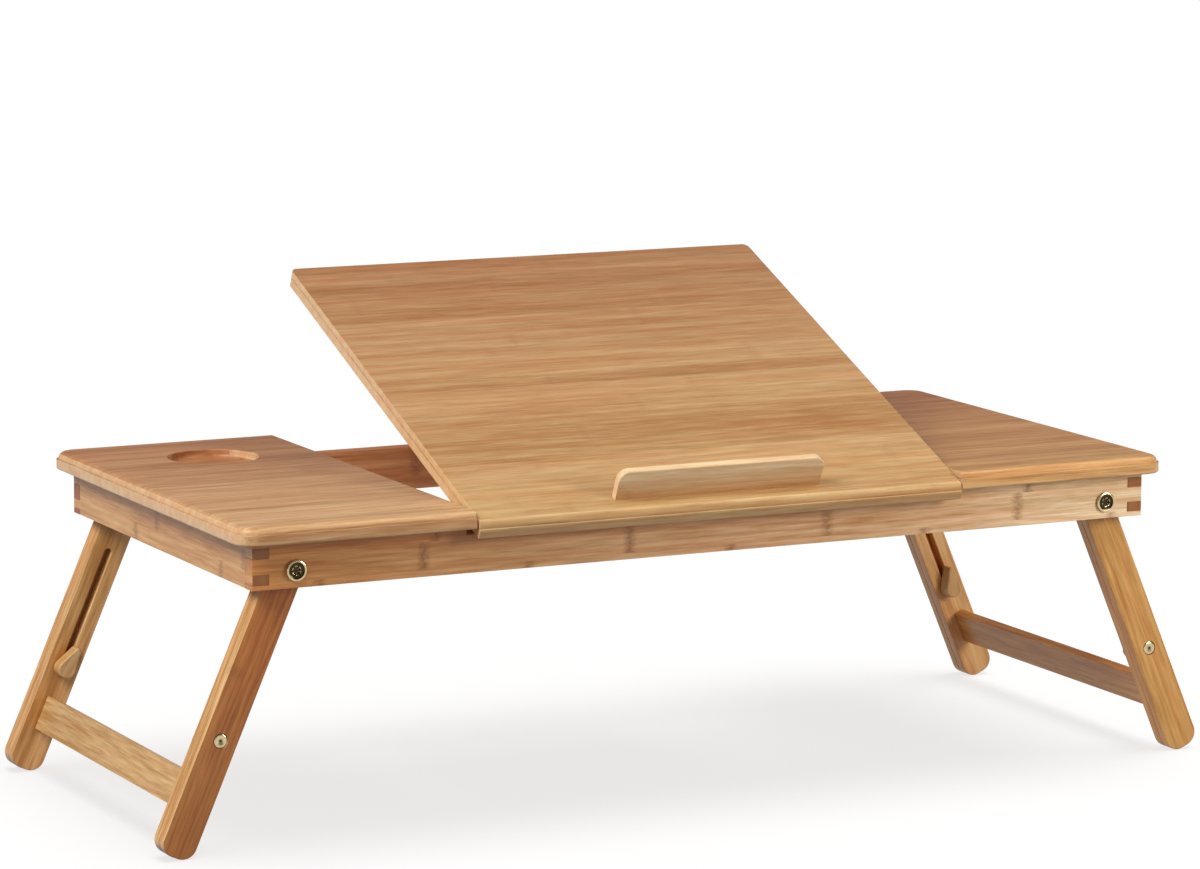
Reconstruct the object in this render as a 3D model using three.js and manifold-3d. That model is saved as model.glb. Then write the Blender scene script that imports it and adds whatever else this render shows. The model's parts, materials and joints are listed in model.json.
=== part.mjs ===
// Bamboo bed desk: a tilting centre panel between two fixed decks, folding legs that slide longer, and a
// small side drawer. Millimetres, +X right, +Y back, +Z up. The origin is on the floor, under the middle of
// the frame.

import * as THREE from 'three';
import { mergeVertices } from 'three/addons/utils/BufferGeometryUtils.js';
import Module from 'manifold-3d';

const wasm = await Module();
wasm.setup();

// Fits and fineness shared by all pieces
const GAP = 0.3;                    // glue line, or running clearance, between two neighbours
const OVERRUN = 4;                  // how far a cutting tool runs past the face it cuts
const ARC_STEPS = 6;                // divisions of an outline's quarter round
const TURN_STEPS = 24;              // sides of a turned piece
const KNOB_STEPS = 12;              // divisions of a knob's curves
const CUP_STEPS = 40;               // sides of the cup recess

// Decks
const DECK_LENGTH = 720;
const DECK_DEPTH = 358;
const BOARD_THICKNESS = 12.5;
const DECK_CORNER_RADIUS = 16;
const DECK_OVERHANG = 13;           // past the outside of the frame
const PANEL_BAY = 378;              // clear width between the two decks
const BAND_HEIGHT = 7.6;            // upright lower band of the moulded edge
const EDGE_STEP = 1.4;              // ledge between the band and the rounded top
const EDGE_BREAK = 1.6;             // chamfer under the band
const CUP_RADIUS = 32.5;
const CUP_DEPTH = 6;
const CUP_FLOOR_RADIUS = 3;         // round between the recess's wall and floor
const CUP_FROM_END = 95;
const CUP_FROM_BACK = 77;

// Frame
const RAIL_HEIGHT = 31.7;
const RAIL_THICKNESS = 12;
const FINGER_HEIGHT = 7;
const FINGER_CENTRE_SHARES = [0.22, 0.78];
const BEVEL_DROP = 5;               // slope planed off the front rail's top, where the panel tips over it
const BEVEL_MARGIN = 1.5;           // how far the slope runs past the bay at each end

// Legs
const SPLAY_DEGREES = 23.4;
const LEG_LENGTH = 207.15;          // pivot axis to foot end, with the inner slats slid in
const LEG_WIDTH = 25;
const SLAT_THICKNESS = 8.2;
const FOOT_CORNER_RADIUS = 10;
const PIVOT_RISE = 12;              // pivot axis above the rail's lower edge
const CLAMP_FROM_FOOT = 83.15;      // foot end to clamp bolt
const LEG_EXTENSION = 82;           // how far the inner slats slide out
const SLOT_RUNOUT = 0.8;            // spare slot past the bolt at each end of the slide
const STRETCHER_FROM_FOOT = 42.65;  // foot end to the middle of the stretcher
const STRETCHER_WIDTH = 25;
const STRETCHER_THICKNESS = 7;

// Bolts and knobs of the legs
const PIVOT_HEAD_RADIUS = 7.25;
const PIVOT_HEAD_HEIGHT = 1.9;
const PIVOT_SHANK_RADIUS = 3;
const PIVOT_GRIP = 5.5;             // length in the outer slat
const SOCKET_RADIUS = 3;            // hexagon socket, to its corners
const SOCKET_DEPTH = 1.3;
const CLAMP_HEAD_RADIUS = 4.75;
const CLAMP_HEAD_HEIGHT = 2.2;
const CLAMP_SHANK_RADIUS = 2.4;
const CLAMP_GRIP = 7;               // length in the knob
const HEAD_RECESS = 0.2;            // clamp bolt's head below the slat's face
const HEAD_BREAK = 0.7;             // eased edge of a bolt head
const SHANK_BREAK = 0.5;            // chamfered end of a bolt, pin or dowel
const KNOB_RADIUS = 6.6;            // round of the knob's wide end
const KNOB_REACH = 5.6;             // bolt axis to the centre of the wide end's round
const KNOB_TIP_RADIUS = 2.2;
const KNOB_TIP_REACH = 9.8;         // bolt axis to the centre of the tip's round
const KNOB_TURN_DEGREES = [11, 14]; // left and right knobs as tightened, from their leg's line towards +X
const KNOB_THICKNESS = 11;
const KNOB_BREAK = 1.4;

// Tilting panel and its book ledge
const PANEL_SIDE_GAP = 1.5;
const PANEL_PROUD = 3;              // front edge past the decks' front edge when the panel lies flat
const PANEL_BACK_INSET = 9;         // back edge short of the decks' back edge when it lies flat
const PANEL_CORNER_RADIUS = 5;
const HINGE_FROM_FRONT = 17.5;      // decks' front edge to the hinge axis
const PANEL_TILT_DEGREES = 22.5;    // from level, in the stored position
const PIN_RADIUS = 2.5;
const PIN_LENGTH = 24;
const LEDGE_LENGTH = 160;
const LEDGE_HEIGHT = 22;            // above the panel
const LEDGE_HOUSING = 3;            // depth of the groove that the ledge is let into
const LEDGE_THICKNESS = 6;
const LEDGE_CORNER_RADIUS = 8;
const LEDGE_SETBACK = 16;           // panel's front edge to the ledge's front face

// Prop and its racks
const PROP_DROP = 9;                // prop's pin below the panel's underside
const PROP_END_GAP = 0.5;           // foot dowel to the rack bar's back neck, with the panel level
const PROP_PIN_RADIUS = 2;
const PROP_WIDTH = 56;
const PROP_THICKNESS = 10;
const BLOCK_WIDTH = 10;             // hinge block, along the pin
const BLOCK_BASE = 30;
const BLOCK_NOSE_RADIUS = 5;
const FOOT_DROP = 18.2;             // hinge axis down to the foot dowel's axis
const FOOT_RADIUS = 3;
const RACK_SIDE_GAP = 1.3;          // prop board to rack bar
const RACK_WIDTH = 11.7;
const RACK_HEIGHT = 11.7;
const RACK_PITCH = 6.6;             // notch to notch
const NOTCHES_BEFORE = 1;           // steeper tilts than the one in use
const NOTCHES_BEHIND = 2;           // flatter tilts
const NOTCH_RADIUS = 2.2;
const NOTCH_DEPTH = 3;
const NECK_LENGTH = 12;             // upright end of a rack bar
const NECK_FILLET = 5;
const LANE_GAP = 0.5;               // between a folded leg and what bridges over it

// Cross rails and drawer
const CROSS_THICKNESS = 12;
const CROSS_INSET = 2;              // bay's side to the cross rail
const CROSS_KNOB_GAP = 7.7;         // full height of a cross rail to the folded knobs beside it
const DRAWER_BACK_GAP = 4;          // closed drawer's back to the cross rail behind it
const DRAWER_GAP = 0.5;             // drawer front to the window around it
const WINDOW_FROM_SIDE = 58;        // outside of the frame to the window
const WINDOW_BORDER = 5;            // rail left above and below the drawer front
const DRAWER_BOARD = 5;             // thickness of the sides and back
const DRAWER_SIDE_DROP = 3.7;       // drawer sides below the window's upper edge
const DRAWER_FLOOR = 3;
const DRAWER_FLOOR_RISE = 1.6;      // floor above the sides' lower edges
const FINGER_NOTCH_RADIUS = 9;
const RUNNER_WEB = 5;
const RUNNER_REACH = 7.5;           // width of the ledge under a drawer side

// Places that follow from the sizes above
const splay = THREE.MathUtils.degToRad(SPLAY_DEGREES);
const tilt = THREE.MathUtils.degToRad(PANEL_TILT_DEGREES);
const endX = DECK_LENGTH / 2 - DECK_OVERHANG;
const sideY = DECK_DEPTH / 2 - DECK_OVERHANG;
const innerX = endX - RAIL_THICKNESS;
const innerY = sideY - RAIL_THICKNESS;
const bayX = PANEL_BAY / 2;
const legHalf = LEG_WIDTH / 2;
const clampAlong = LEG_LENGTH - CLAMP_FROM_FOOT;
const footCorner = Math.min(FOOT_CORNER_RADIUS, legHalf);
const footRise = (LEG_LENGTH - footCorner) * Math.cos(splay) + (legHalf - footCorner) * Math.sin(splay);
const pivotZ = footCorner + footRise;
const pivotX = innerX - (legHalf + GAP) / Math.cos(splay) - PIVOT_RISE * Math.tan(splay);
const railBottom = pivotZ - PIVOT_RISE;
const railTop = railBottom + RAIL_HEIGHT;
const deckBottom = railTop + GAP;
const outerSlat = [innerY - GAP - SLAT_THICKNESS, innerY - GAP];
const innerSlat = [outerSlat[0] - GAP - SLAT_THICKNESS, outerSlat[0] - GAP];
const knobSpan = [innerSlat[0] - GAP - KNOB_THICKNESS, innerSlat[0] - GAP];
const knobReach = Math.max(KNOB_REACH + KNOB_RADIUS, KNOB_TIP_REACH + KNOB_TIP_RADIUS);
const laneTop = pivotZ + Math.max(legHalf, knobReach) + LANE_GAP;
const slotHalf = CLAMP_SHANK_RADIUS + GAP;
const hingeY = -DECK_DEPTH / 2 + HINGE_FROM_FRONT;
const hingeZ = deckBottom + BOARD_THICKNESS / 2;
const panelFront = -HINGE_FROM_FRONT - PANEL_PROUD;
const panelBack = DECK_DEPTH - HINGE_FROM_FRONT - PANEL_BACK_INSET;
const panelHalf = bayX - PANEL_SIDE_GAP;
const pinMiddle = bayX - PANEL_SIDE_GAP / 2;
const ledgeSpan = [panelFront + LEDGE_SETBACK, panelFront + LEDGE_SETBACK + LEDGE_THICKNESS];
const ledgeFoot = BOARD_THICKNESS / 2 - LEDGE_HOUSING + GAP;
const propPinZ = -BOARD_THICKNESS / 2 - PROP_DROP;
const blockX = PROP_WIDTH / 2 + GAP;
const rackX = PROP_WIDTH / 2 + RACK_SIDE_GAP;
const footZ = hingeZ - FOOT_DROP;
const rackTop = footZ - FOOT_RADIUS - GAP;
const rackBottom = rackTop - RACK_HEIGHT;
const neckY = innerSlat[0] - 2 * LANE_GAP;
const propSeat = (neckY - NECK_LENGTH - PROP_END_GAP - FOOT_RADIUS - hingeY) / 2;
const propLength = propSeat;        // equal arms keep the foot's path nearly level
const crossX = bayX + CROSS_INSET;
const crossHalfSpan = knobSpan[0] - CROSS_KNOB_GAP;
const windowBottom = railBottom + WINDOW_BORDER;
const windowTop = railTop - WINDOW_BORDER;
const windowHalf = sideY - WINDOW_FROM_SIDE;
const drawerHalf = windowHalf - DRAWER_GAP;
const drawerBottom = windowBottom + DRAWER_GAP;
const drawerBackX = crossX + CROSS_THICKNESS + DRAWER_BACK_GAP;
const drawerSideX = [drawerBackX, innerX - GAP];
const drawerSideZ = [drawerBottom, windowTop - DRAWER_SIDE_DROP];
const drawerInside = drawerHalf - DRAWER_BOARD - GAP;

// Finishes
function bamboo(name, color) {
  return new THREE.MeshStandardMaterial({ name, color, roughness: 0.5, metalness: 0, flatShading: true });
}
const topBamboo = bamboo('bamboo_top', 0xc49a70);
const railBamboo = bamboo('bamboo_rail', 0xb98a5c);
const legBamboo = bamboo('bamboo_leg', 0xab7743);
const paleBamboo = bamboo('bamboo_pale', 0xdfb67f);
const insideBamboo = bamboo('bamboo_inside', 0xc2a070);
const brassedSteel = new THREE.MeshStandardMaterial({
  name: 'brassed_steel', color: 0xb9a57c, roughness: 0.3, metalness: 1, flatShading: true,
});

// Solids

/** The closed solid inside a geometry, with its shared vertices merged and its pole slivers dropped. */
function solidOf(geometry) {
  const bare = new THREE.BufferGeometry();
  bare.setAttribute('position', geometry.getAttribute('position'));
  bare.setIndex(geometry.getIndex());
  const merged = mergeVertices(bare);
  const corners = Array.from(merged.getIndex().array);
  const kept = [];
  for (let i = 0; i < corners.length; i += 3) {
    const [a, b, c] = corners.slice(i, i + 3);
    if (a !== b && b !== c && c !== a) kept.push(a, b, c);
  }
  return new wasm.Manifold(new wasm.Mesh({
    numProp: 3,
    vertProperties: Float32Array.from(merged.getAttribute('position').array),
    triVerts: Uint32Array.from(kept),
  }));
}

/** The geometry of a solid's surface. */
function geometryOf(solid) {
  const surface = solid.getMesh();
  const geometry = new THREE.BufferGeometry();
  geometry.setAttribute('position', new THREE.BufferAttribute(surface.vertProperties, 3));
  geometry.setIndex(new THREE.BufferAttribute(surface.triVerts, 1));
  geometry.computeVertexNormals();
  return geometry;
}

/** A block between three pairs of faces. */
function block(x, y, z) {
  const box = new THREE.BoxGeometry(x[1] - x[0], y[1] - y[0], z[1] - z[0]);
  box.translate((x[0] + x[1]) / 2, (y[0] + y[1]) / 2, (z[0] + z[1]) / 2);
  return solidOf(box);
}

/** An interval as it lies on one side of the middle plane: side is -1 or 1. */
function onSide(side, low, high) {
  return side > 0 ? [low, high] : [-high, -low];
}

const xAxis = new THREE.Vector3(1, 0, 0);
const yAxis = new THREE.Vector3(0, 1, 0);
const zAxis = new THREE.Vector3(0, 0, 1);

/** A prism along X, from an outline drawn in Y and Z. */
function prismAlongX(outline, x) {
  const depth = x[1] - x[0];
  const prism = new THREE.ExtrudeGeometry(outline, { depth, bevelEnabled: false, curveSegments: ARC_STEPS });
  prism.applyMatrix4(new THREE.Matrix4().makeBasis(yAxis, zAxis, xAxis));
  prism.translate(x[0], 0, 0);
  return solidOf(prism);
}

/** A prism along Y, from an outline drawn in X and Z, with its edges eased by break. */
function prismAlongY(outline, y, edgeBreak = 0, curveSegments = ARC_STEPS) {
  const prism = new THREE.ExtrudeGeometry(outline, {
    depth: y[1] - y[0] - 2 * edgeBreak,
    bevelEnabled: edgeBreak > 0,
    bevelThickness: edgeBreak,
    bevelSize: edgeBreak,
    bevelOffset: -edgeBreak,
    bevelSegments: 2,
    curveSegments,
  });
  prism.applyMatrix4(new THREE.Matrix4().makeBasis(xAxis, zAxis, yAxis.clone().negate()));
  prism.translate(0, y[1] - edgeBreak, 0);
  return solidOf(prism);
}

/** A turned solid on the Y axis: its profile is a list of radii and places along Y, from axis to axis. */
function turnedOnY(profile, steps = TURN_STEPS) {
  const points = profile.map(([radius, y]) => new THREE.Vector2(radius, y));
  return solidOf(new THREE.LatheGeometry(points, steps));
}

/** A round bar or bore along Y. */
function rodAlongY(radius, y, edgeBreak = 0) {
  return turnedOnY([
    [0, y[0]],
    [radius - edgeBreak, y[0]],
    [radius, y[0] + edgeBreak],
    [radius, y[1] - edgeBreak],
    [radius - edgeBreak, y[1]],
    [0, y[1]],
  ]);
}

/** A round bar or bore along X. */
function rodAlongX(radius, x, edgeBreak = 0) {
  return rodAlongY(radius, [-x[1], -x[0]], edgeBreak).rotate([0, 0, 90]);
}

/** An outline from corner points. */
function polygon(points) {
  return new THREE.Shape(points.map(([u, v]) => new THREE.Vector2(u, v)));
}

// Decks

/** Rings of the moulded edge, from the underside up: how far each is drawn in, and its height. */
function mouldedRings() {
  const round = BOARD_THICKNESS - BAND_HEIGHT;
  const rings = [[EDGE_BREAK, 0], [0, EDGE_BREAK], [0, BAND_HEIGHT], [EDGE_STEP, BAND_HEIGHT]];
  for (let i = 1; i <= ARC_STEPS; i++) {
    const angle = (i / ARC_STEPS) * Math.PI / 2;
    rings.push([EDGE_STEP + round * (1 - Math.cos(angle)), BAND_HEIGHT + round * Math.sin(angle)]);
  }
  return rings;
}

/** A board lofted through rounded rectangles, one for each ring of the moulded edge. */
function mouldedBoard(halfX, halfY, cornerRadius) {
  const rings = mouldedRings();
  const ringPoints = 4 * (ARC_STEPS + 1);
  const places = [];
  for (const [inset, height] of rings) {
    const radius = Math.max(cornerRadius - inset, EDGE_BREAK);
    for (let quarter = 0; quarter < 4; quarter++) {
      const toRight = quarter === 0 || quarter === 3 ? 1 : -1;
      const toBack = quarter < 2 ? 1 : -1;
      for (let i = 0; i <= ARC_STEPS; i++) {
        const angle = (quarter + i / ARC_STEPS) * Math.PI / 2;
        places.push(toRight * (halfX - inset - radius) + radius * Math.cos(angle));
        places.push(toBack * (halfY - inset - radius) + radius * Math.sin(angle));
        places.push(height);
      }
    }
  }
  const faces = [];
  for (let ring = 0; ring + 1 < rings.length; ring++) {
    for (let i = 0; i < ringPoints; i++) {
      const a = ring * ringPoints + i;
      const b = ring * ringPoints + (i + 1) % ringPoints;
      faces.push(a, b, b + ringPoints, a, b + ringPoints, a + ringPoints);
    }
  }
  const top = (rings.length - 1) * ringPoints;
  for (let i = 1; i + 1 < ringPoints; i++) {
    faces.push(0, i + 1, i);
    faces.push(top, top + i, top + i + 1);
  }
  const geometry = new THREE.BufferGeometry();
  geometry.setAttribute('position', new THREE.Float32BufferAttribute(places, 3));
  geometry.setIndex(faces);
  return solidOf(geometry);
}

/** What the cup recess takes out of the left deck: a shallow round dish with an eased floor. */
function cupRecess() {
  const profile = [[0, 0]];
  for (let i = 0; i <= ARC_STEPS; i++) {
    const angle = (i / ARC_STEPS) * Math.PI / 2;
    const out = CUP_RADIUS - CUP_FLOOR_RADIUS + CUP_FLOOR_RADIUS * Math.sin(angle);
    profile.push([out, CUP_FLOOR_RADIUS * (1 - Math.cos(angle))]);
  }
  profile.push([CUP_RADIUS, CUP_DEPTH + OVERRUN], [0, CUP_DEPTH + OVERRUN]);
  return turnedOnY(profile, CUP_STEPS).rotate([90, 0, 0]).translate([
    -DECK_LENGTH / 2 + CUP_FROM_END,
    DECK_DEPTH / 2 - CUP_FROM_BACK,
    deckBottom + BOARD_THICKNESS - CUP_DEPTH,
  ]);
}

/** A fixed deck: the moulded board on one side of the bay, bored for the panel's pin. */
function deck(side) {
  const board = mouldedBoard(DECK_LENGTH / 2, DECK_DEPTH / 2, DECK_CORNER_RADIUS)
    .translate([0, 0, deckBottom]);
  const otherSide = block(
    onSide(side, -DECK_LENGTH, bayX),
    [-DECK_DEPTH, DECK_DEPTH],
    [deckBottom - OVERRUN, deckBottom + BOARD_THICKNESS + OVERRUN],
  );
  const bore = rodAlongX(PIN_RADIUS + GAP, onSide(side, bayX - OVERRUN, pinMiddle + PIN_LENGTH / 2 + GAP));
  return board.subtract(otherSide).subtract(bore.translate([0, hingeY, hingeZ]));
}

// Frame

/** The fingers of an end rail, or with more clearance the notches that a long rail has for them. */
function fingers(endSide, longSide, x, y, clearance) {
  return FINGER_CENTRE_SHARES.map((share) => {
    const middle = railBottom + share * RAIL_HEIGHT;
    const half = (FINGER_HEIGHT + clearance) / 2;
    return block(onSide(endSide, ...x), onSide(longSide, ...y), [middle - half, middle + half]);
  });
}

/** The front or back rail, notched for the end rails' fingers and bored for the pivot bolts. */
function longRail(side) {
  let rail = block([-endX, endX], onSide(side, innerY, sideY), [railBottom, railTop]);
  const through = onSide(side, innerY - OVERRUN, sideY + OVERRUN);
  for (const end of [-1, 1]) {
    const notchX = [innerX - GAP, endX + OVERRUN];
    const notchY = [innerY - OVERRUN, sideY + OVERRUN];
    for (const notch of fingers(end, side, notchX, notchY, GAP)) rail = rail.subtract(notch);
    rail = rail.subtract(rodAlongY(PIVOT_SHANK_RADIUS + GAP, through).translate([end * pivotX, 0, pivotZ]));
  }
  return rail;
}

/** What is planed off the front rail's top so that the panel's front edge can dip as it tips. */
function frontBevel() {
  const fall = BEVEL_DROP / RAIL_THICKNESS;
  const outline = polygon([
    [-sideY - OVERRUN, railTop - BEVEL_DROP - OVERRUN * fall],
    [-innerY, railTop],
    [-innerY, railTop + OVERRUN],
    [-sideY - OVERRUN, railTop + OVERRUN],
  ]);
  return prismAlongX(outline, [-bayX - BEVEL_MARGIN, bayX + BEVEL_MARGIN]);
}

/** An end rail, with its fingers through both long rails. */
function endRail(end) {
  const x = [innerX, endX];
  let rail = block(onSide(end, ...x), [-innerY + GAP, innerY - GAP], [railBottom, railTop]);
  for (const side of [-1, 1]) {
    for (const finger of fingers(end, side, x, [innerY - OVERRUN, sideY], -GAP)) rail = rail.add(finger);
  }
  return rail;
}

/** The window that the drawer slides through. */
function drawerWindow() {
  return block([innerX - OVERRUN, endX + OVERRUN], [-windowHalf, windowHalf], [windowBottom, windowTop]);
}

/** A cross rail under a deck's inner edge, cut away at its ends where the legs and knobs fold in. */
function crossRail(side) {
  const reach = innerY - GAP;
  const outline = polygon([
    [-crossHalfSpan, railBottom],
    [crossHalfSpan, railBottom],
    [crossHalfSpan, laneTop],
    [reach, laneTop],
    [reach, railTop],
    [-reach, railTop],
    [-reach, laneTop],
    [-crossHalfSpan, laneTop],
  ]);
  return prismAlongX(outline, onSide(side, crossX, crossX + CROSS_THICKNESS));
}

// Legs, drawn hanging straight down from the pivot axis

/** Outline of a leg slat: round about the pivot at the top, eased corners at the foot. */
function slatOutline() {
  const outline = new THREE.Shape();
  const cornerZ = -LEG_LENGTH + footCorner;
  outline.moveTo(legHalf, 0);
  outline.absarc(0, 0, legHalf, 0, Math.PI, false);
  outline.lineTo(-legHalf, cornerZ);
  outline.absarc(footCorner - legHalf, cornerZ, footCorner, Math.PI, 1.5 * Math.PI, false);
  outline.absarc(legHalf - footCorner, cornerZ, footCorner, 1.5 * Math.PI, 2 * Math.PI, false);
  outline.closePath();
  return outline;
}

/** Fixed outer slat, bored for the pivot bolt and counterbored for the clamp bolt. */
function outerSlatSolid(side) {
  const past = outerSlat[1] + OVERRUN;
  const pivotBore = rodAlongY(PIVOT_SHANK_RADIUS + GAP, onSide(side, outerSlat[1] - PIVOT_GRIP - GAP, past));
  const clampBore = rodAlongY(slotHalf, onSide(side, outerSlat[0] - OVERRUN, past));
  const headSeat = outerSlat[1] - HEAD_RECESS - CLAMP_HEAD_HEIGHT - GAP;
  const headBore = rodAlongY(CLAMP_HEAD_RADIUS + GAP, onSide(side, headSeat, past));
  return prismAlongY(slatOutline(), onSide(side, ...outerSlat))
    .subtract(pivotBore)
    .subtract(clampBore.translate([0, 0, -clampAlong]))
    .subtract(headBore.translate([0, 0, -clampAlong]));
}

/** Sliding inner slat, with the slot that runs over the clamp bolt. */
function innerSlatSolid(side) {
  const outline = slatOutline();
  const slot = new THREE.Path();
  const upper = -clampAlong + LEG_EXTENSION + SLOT_RUNOUT;
  const lower = -clampAlong - SLOT_RUNOUT;
  slot.moveTo(slotHalf, upper);
  slot.absarc(0, upper, slotHalf, 0, Math.PI, false);
  slot.lineTo(-slotHalf, lower);
  slot.absarc(0, lower, slotHalf, Math.PI, 2 * Math.PI, false);
  slot.closePath();
  outline.holes.push(slot);
  return prismAlongY(outline, onSide(side, ...innerSlat));
}

/** Stretcher that joins the front and back inner slats. */
function stretcher() {
  const middle = STRETCHER_FROM_FOOT - LEG_LENGTH;
  return block(
    [-STRETCHER_THICKNESS / 2, STRETCHER_THICKNESS / 2],
    [-innerSlat[0] + GAP, innerSlat[0] - GAP],
    [middle - STRETCHER_WIDTH / 2, middle + STRETCHER_WIDTH / 2],
  );
}

/** A bolt on the Y axis, its head outwards: shank from its end to the seat, then the head. */
function bolt(side, shankRadius, shankEnd, seat, headRadius, headHeight) {
  const solid = turnedOnY([
    [0, shankEnd],
    [shankRadius - SHANK_BREAK, shankEnd],
    [shankRadius, shankEnd + SHANK_BREAK],
    [shankRadius, seat],
    [headRadius, seat],
    [headRadius, seat + headHeight - HEAD_BREAK],
    [headRadius - HEAD_BREAK, seat + headHeight],
    [0, seat + headHeight],
  ]);
  return side > 0 ? solid : solid.rotate([180, 0, 0]);
}

/** Pivot bolt with a hexagon socket, through a long rail into the outer slat. */
function pivotBolt(side) {
  const seat = sideY + GAP;
  const face = seat + PIVOT_HEAD_HEIGHT;
  const socket = new THREE.CylinderGeometry(SOCKET_RADIUS, SOCKET_RADIUS, SOCKET_DEPTH + OVERRUN, 6);
  socket.translate(0, side * (face - SOCKET_DEPTH + (SOCKET_DEPTH + OVERRUN) / 2), 0);
  const shankEnd = outerSlat[1] - PIVOT_GRIP;
  return bolt(side, PIVOT_SHANK_RADIUS, shankEnd, seat, PIVOT_HEAD_RADIUS, PIVOT_HEAD_HEIGHT)
    .subtract(solidOf(socket));
}

/** Clamp bolt, its head sunk in the outer slat and its end in the knob. */
function clampBolt(side) {
  const seat = outerSlat[1] - HEAD_RECESS - CLAMP_HEAD_HEIGHT;
  return bolt(side, CLAMP_SHANK_RADIUS, knobSpan[1] - CLAMP_GRIP, seat, CLAMP_HEAD_RADIUS, CLAMP_HEAD_HEIGHT);
}

/** Teardrop knob that screws onto the clamp bolt, its narrow end towards the pivot. */
function knob(side) {
  const tangent = Math.asin((KNOB_RADIUS - KNOB_TIP_RADIUS) / (KNOB_REACH + KNOB_TIP_REACH));
  const outline = new THREE.Shape();
  outline.absarc(0, KNOB_TIP_REACH, KNOB_TIP_RADIUS, tangent, Math.PI - tangent, false);
  outline.absarc(0, -KNOB_REACH, KNOB_RADIUS, Math.PI - tangent, 2 * Math.PI + tangent, false);
  outline.closePath();
  const boreY = onSide(side, knobSpan[1] - CLAMP_GRIP - GAP, knobSpan[1] + OVERRUN);
  const bore = rodAlongY(CLAMP_SHANK_RADIUS + GAP, boreY);
  return prismAlongY(outline, onSide(side, ...knobSpan), KNOB_BREAK, KNOB_STEPS).subtract(bore);
}

// Tilting panel, drawn flat with the hinge axis through the origin

/** Panel board: moulded front edge, square sides, round back corners, a groove for the ledge, pin bores. */
function tiltingPanel() {
  const outline = new THREE.Shape();
  const corner = PANEL_CORNER_RADIUS;
  outline.moveTo(-panelHalf, panelFront - OVERRUN);
  outline.lineTo(panelHalf, panelFront - OVERRUN);
  outline.absarc(panelHalf - corner, panelBack - corner, corner, 0, Math.PI / 2, false);
  outline.absarc(corner - panelHalf, panelBack - corner, corner, Math.PI / 2, Math.PI, false);
  outline.closePath();
  const depth = BOARD_THICKNESS + 2 * OVERRUN;
  const plan = new THREE.ExtrudeGeometry(outline, { depth, bevelEnabled: false, curveSegments: ARC_STEPS });
  plan.translate(0, 0, -depth / 2);
  const halfY = (panelBack - panelFront) / 2 + DECK_CORNER_RADIUS;
  let board = mouldedBoard(panelHalf + DECK_CORNER_RADIUS, halfY, DECK_CORNER_RADIUS)
    .translate([0, panelFront + halfY, -BOARD_THICKNESS / 2])
    .intersect(solidOf(plan));
  for (const side of [-1, 1]) {
    const x = onSide(side, pinMiddle - PIN_LENGTH / 2 - GAP, panelHalf + OVERRUN);
    board = board.subtract(rodAlongX(PIN_RADIUS + GAP, x));
  }
  const groove = block(
    [-LEDGE_LENGTH / 2 - GAP, LEDGE_LENGTH / 2 + GAP],
    [ledgeSpan[0] - GAP, ledgeSpan[1] + GAP],
    [ledgeFoot - GAP, BOARD_THICKNESS / 2 + OVERRUN],
  );
  return board.subtract(groove);
}

/** Ledge that stops what lies on the panel from sliding off. */
function stopLedge() {
  const outline = new THREE.Shape();
  const half = LEDGE_LENGTH / 2;
  const round = LEDGE_CORNER_RADIUS;
  const top = BOARD_THICKNESS / 2 + LEDGE_HEIGHT;
  outline.moveTo(-half, ledgeFoot);
  outline.lineTo(half, ledgeFoot);
  outline.absarc(half - round, top - round, round, 0, Math.PI / 2, false);
  outline.absarc(round - half, top - round, round, Math.PI / 2, Math.PI, false);
  outline.closePath();
  return prismAlongY(outline, ledgeSpan);
}

/** Block under the panel that one end of the prop's pin sits in. */
function hingeBlock(side) {
  const top = -BOARD_THICKNESS / 2 - GAP;
  const outline = new THREE.Shape();
  outline.moveTo(propSeat - BLOCK_BASE / 2, top);
  outline.lineTo(propSeat - BLOCK_NOSE_RADIUS, propPinZ);
  outline.absarc(propSeat, propPinZ, BLOCK_NOSE_RADIUS, Math.PI, 2 * Math.PI, false);
  outline.lineTo(propSeat + BLOCK_BASE / 2, top);
  outline.closePath();
  const boreX = onSide(side, blockX - OVERRUN, blockX + BLOCK_WIDTH + OVERRUN);
  const bore = rodAlongX(PROP_PIN_RADIUS + GAP, boreX);
  return prismAlongX(outline, onSide(side, blockX, blockX + BLOCK_WIDTH))
    .subtract(bore.translate([0, propSeat, propPinZ]));
}

// Prop, drawn level with its pin through the origin and its foot to the back

/** Prop board, round about its pin at one end and about the foot dowel at the other. */
function propBoard() {
  const round = PROP_THICKNESS / 2;
  const outline = new THREE.Shape();
  outline.absarc(0, 0, round, Math.PI / 2, 1.5 * Math.PI, false);
  outline.absarc(propLength, 0, round, -Math.PI / 2, Math.PI / 2, false);
  outline.closePath();
  const half = PROP_WIDTH / 2;
  const through = [-half - OVERRUN, half + OVERRUN];
  return prismAlongX(outline, [-half, half])
    .subtract(rodAlongX(PROP_PIN_RADIUS + GAP, through))
    .subtract(rodAlongX(FOOT_RADIUS + GAP, through).translate([0, propLength, 0]));
}

/** How steeply the prop leans down, in radians, when the panel is at an angle. */
function propLean(panelAngle) {
  const pinHeight = propSeat * Math.sin(panelAngle) + propPinZ * Math.cos(panelAngle);
  return Math.asin((pinHeight + FOOT_DROP) / propLength);
}

/** Where the foot dowel's axis is, front to back, when the panel is at an angle. */
function footPlace(panelAngle) {
  const pinY = hingeY + propSeat * Math.cos(panelAngle) - propPinZ * Math.sin(panelAngle);
  return pinY + propLength * Math.cos(propLean(panelAngle));
}

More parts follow.
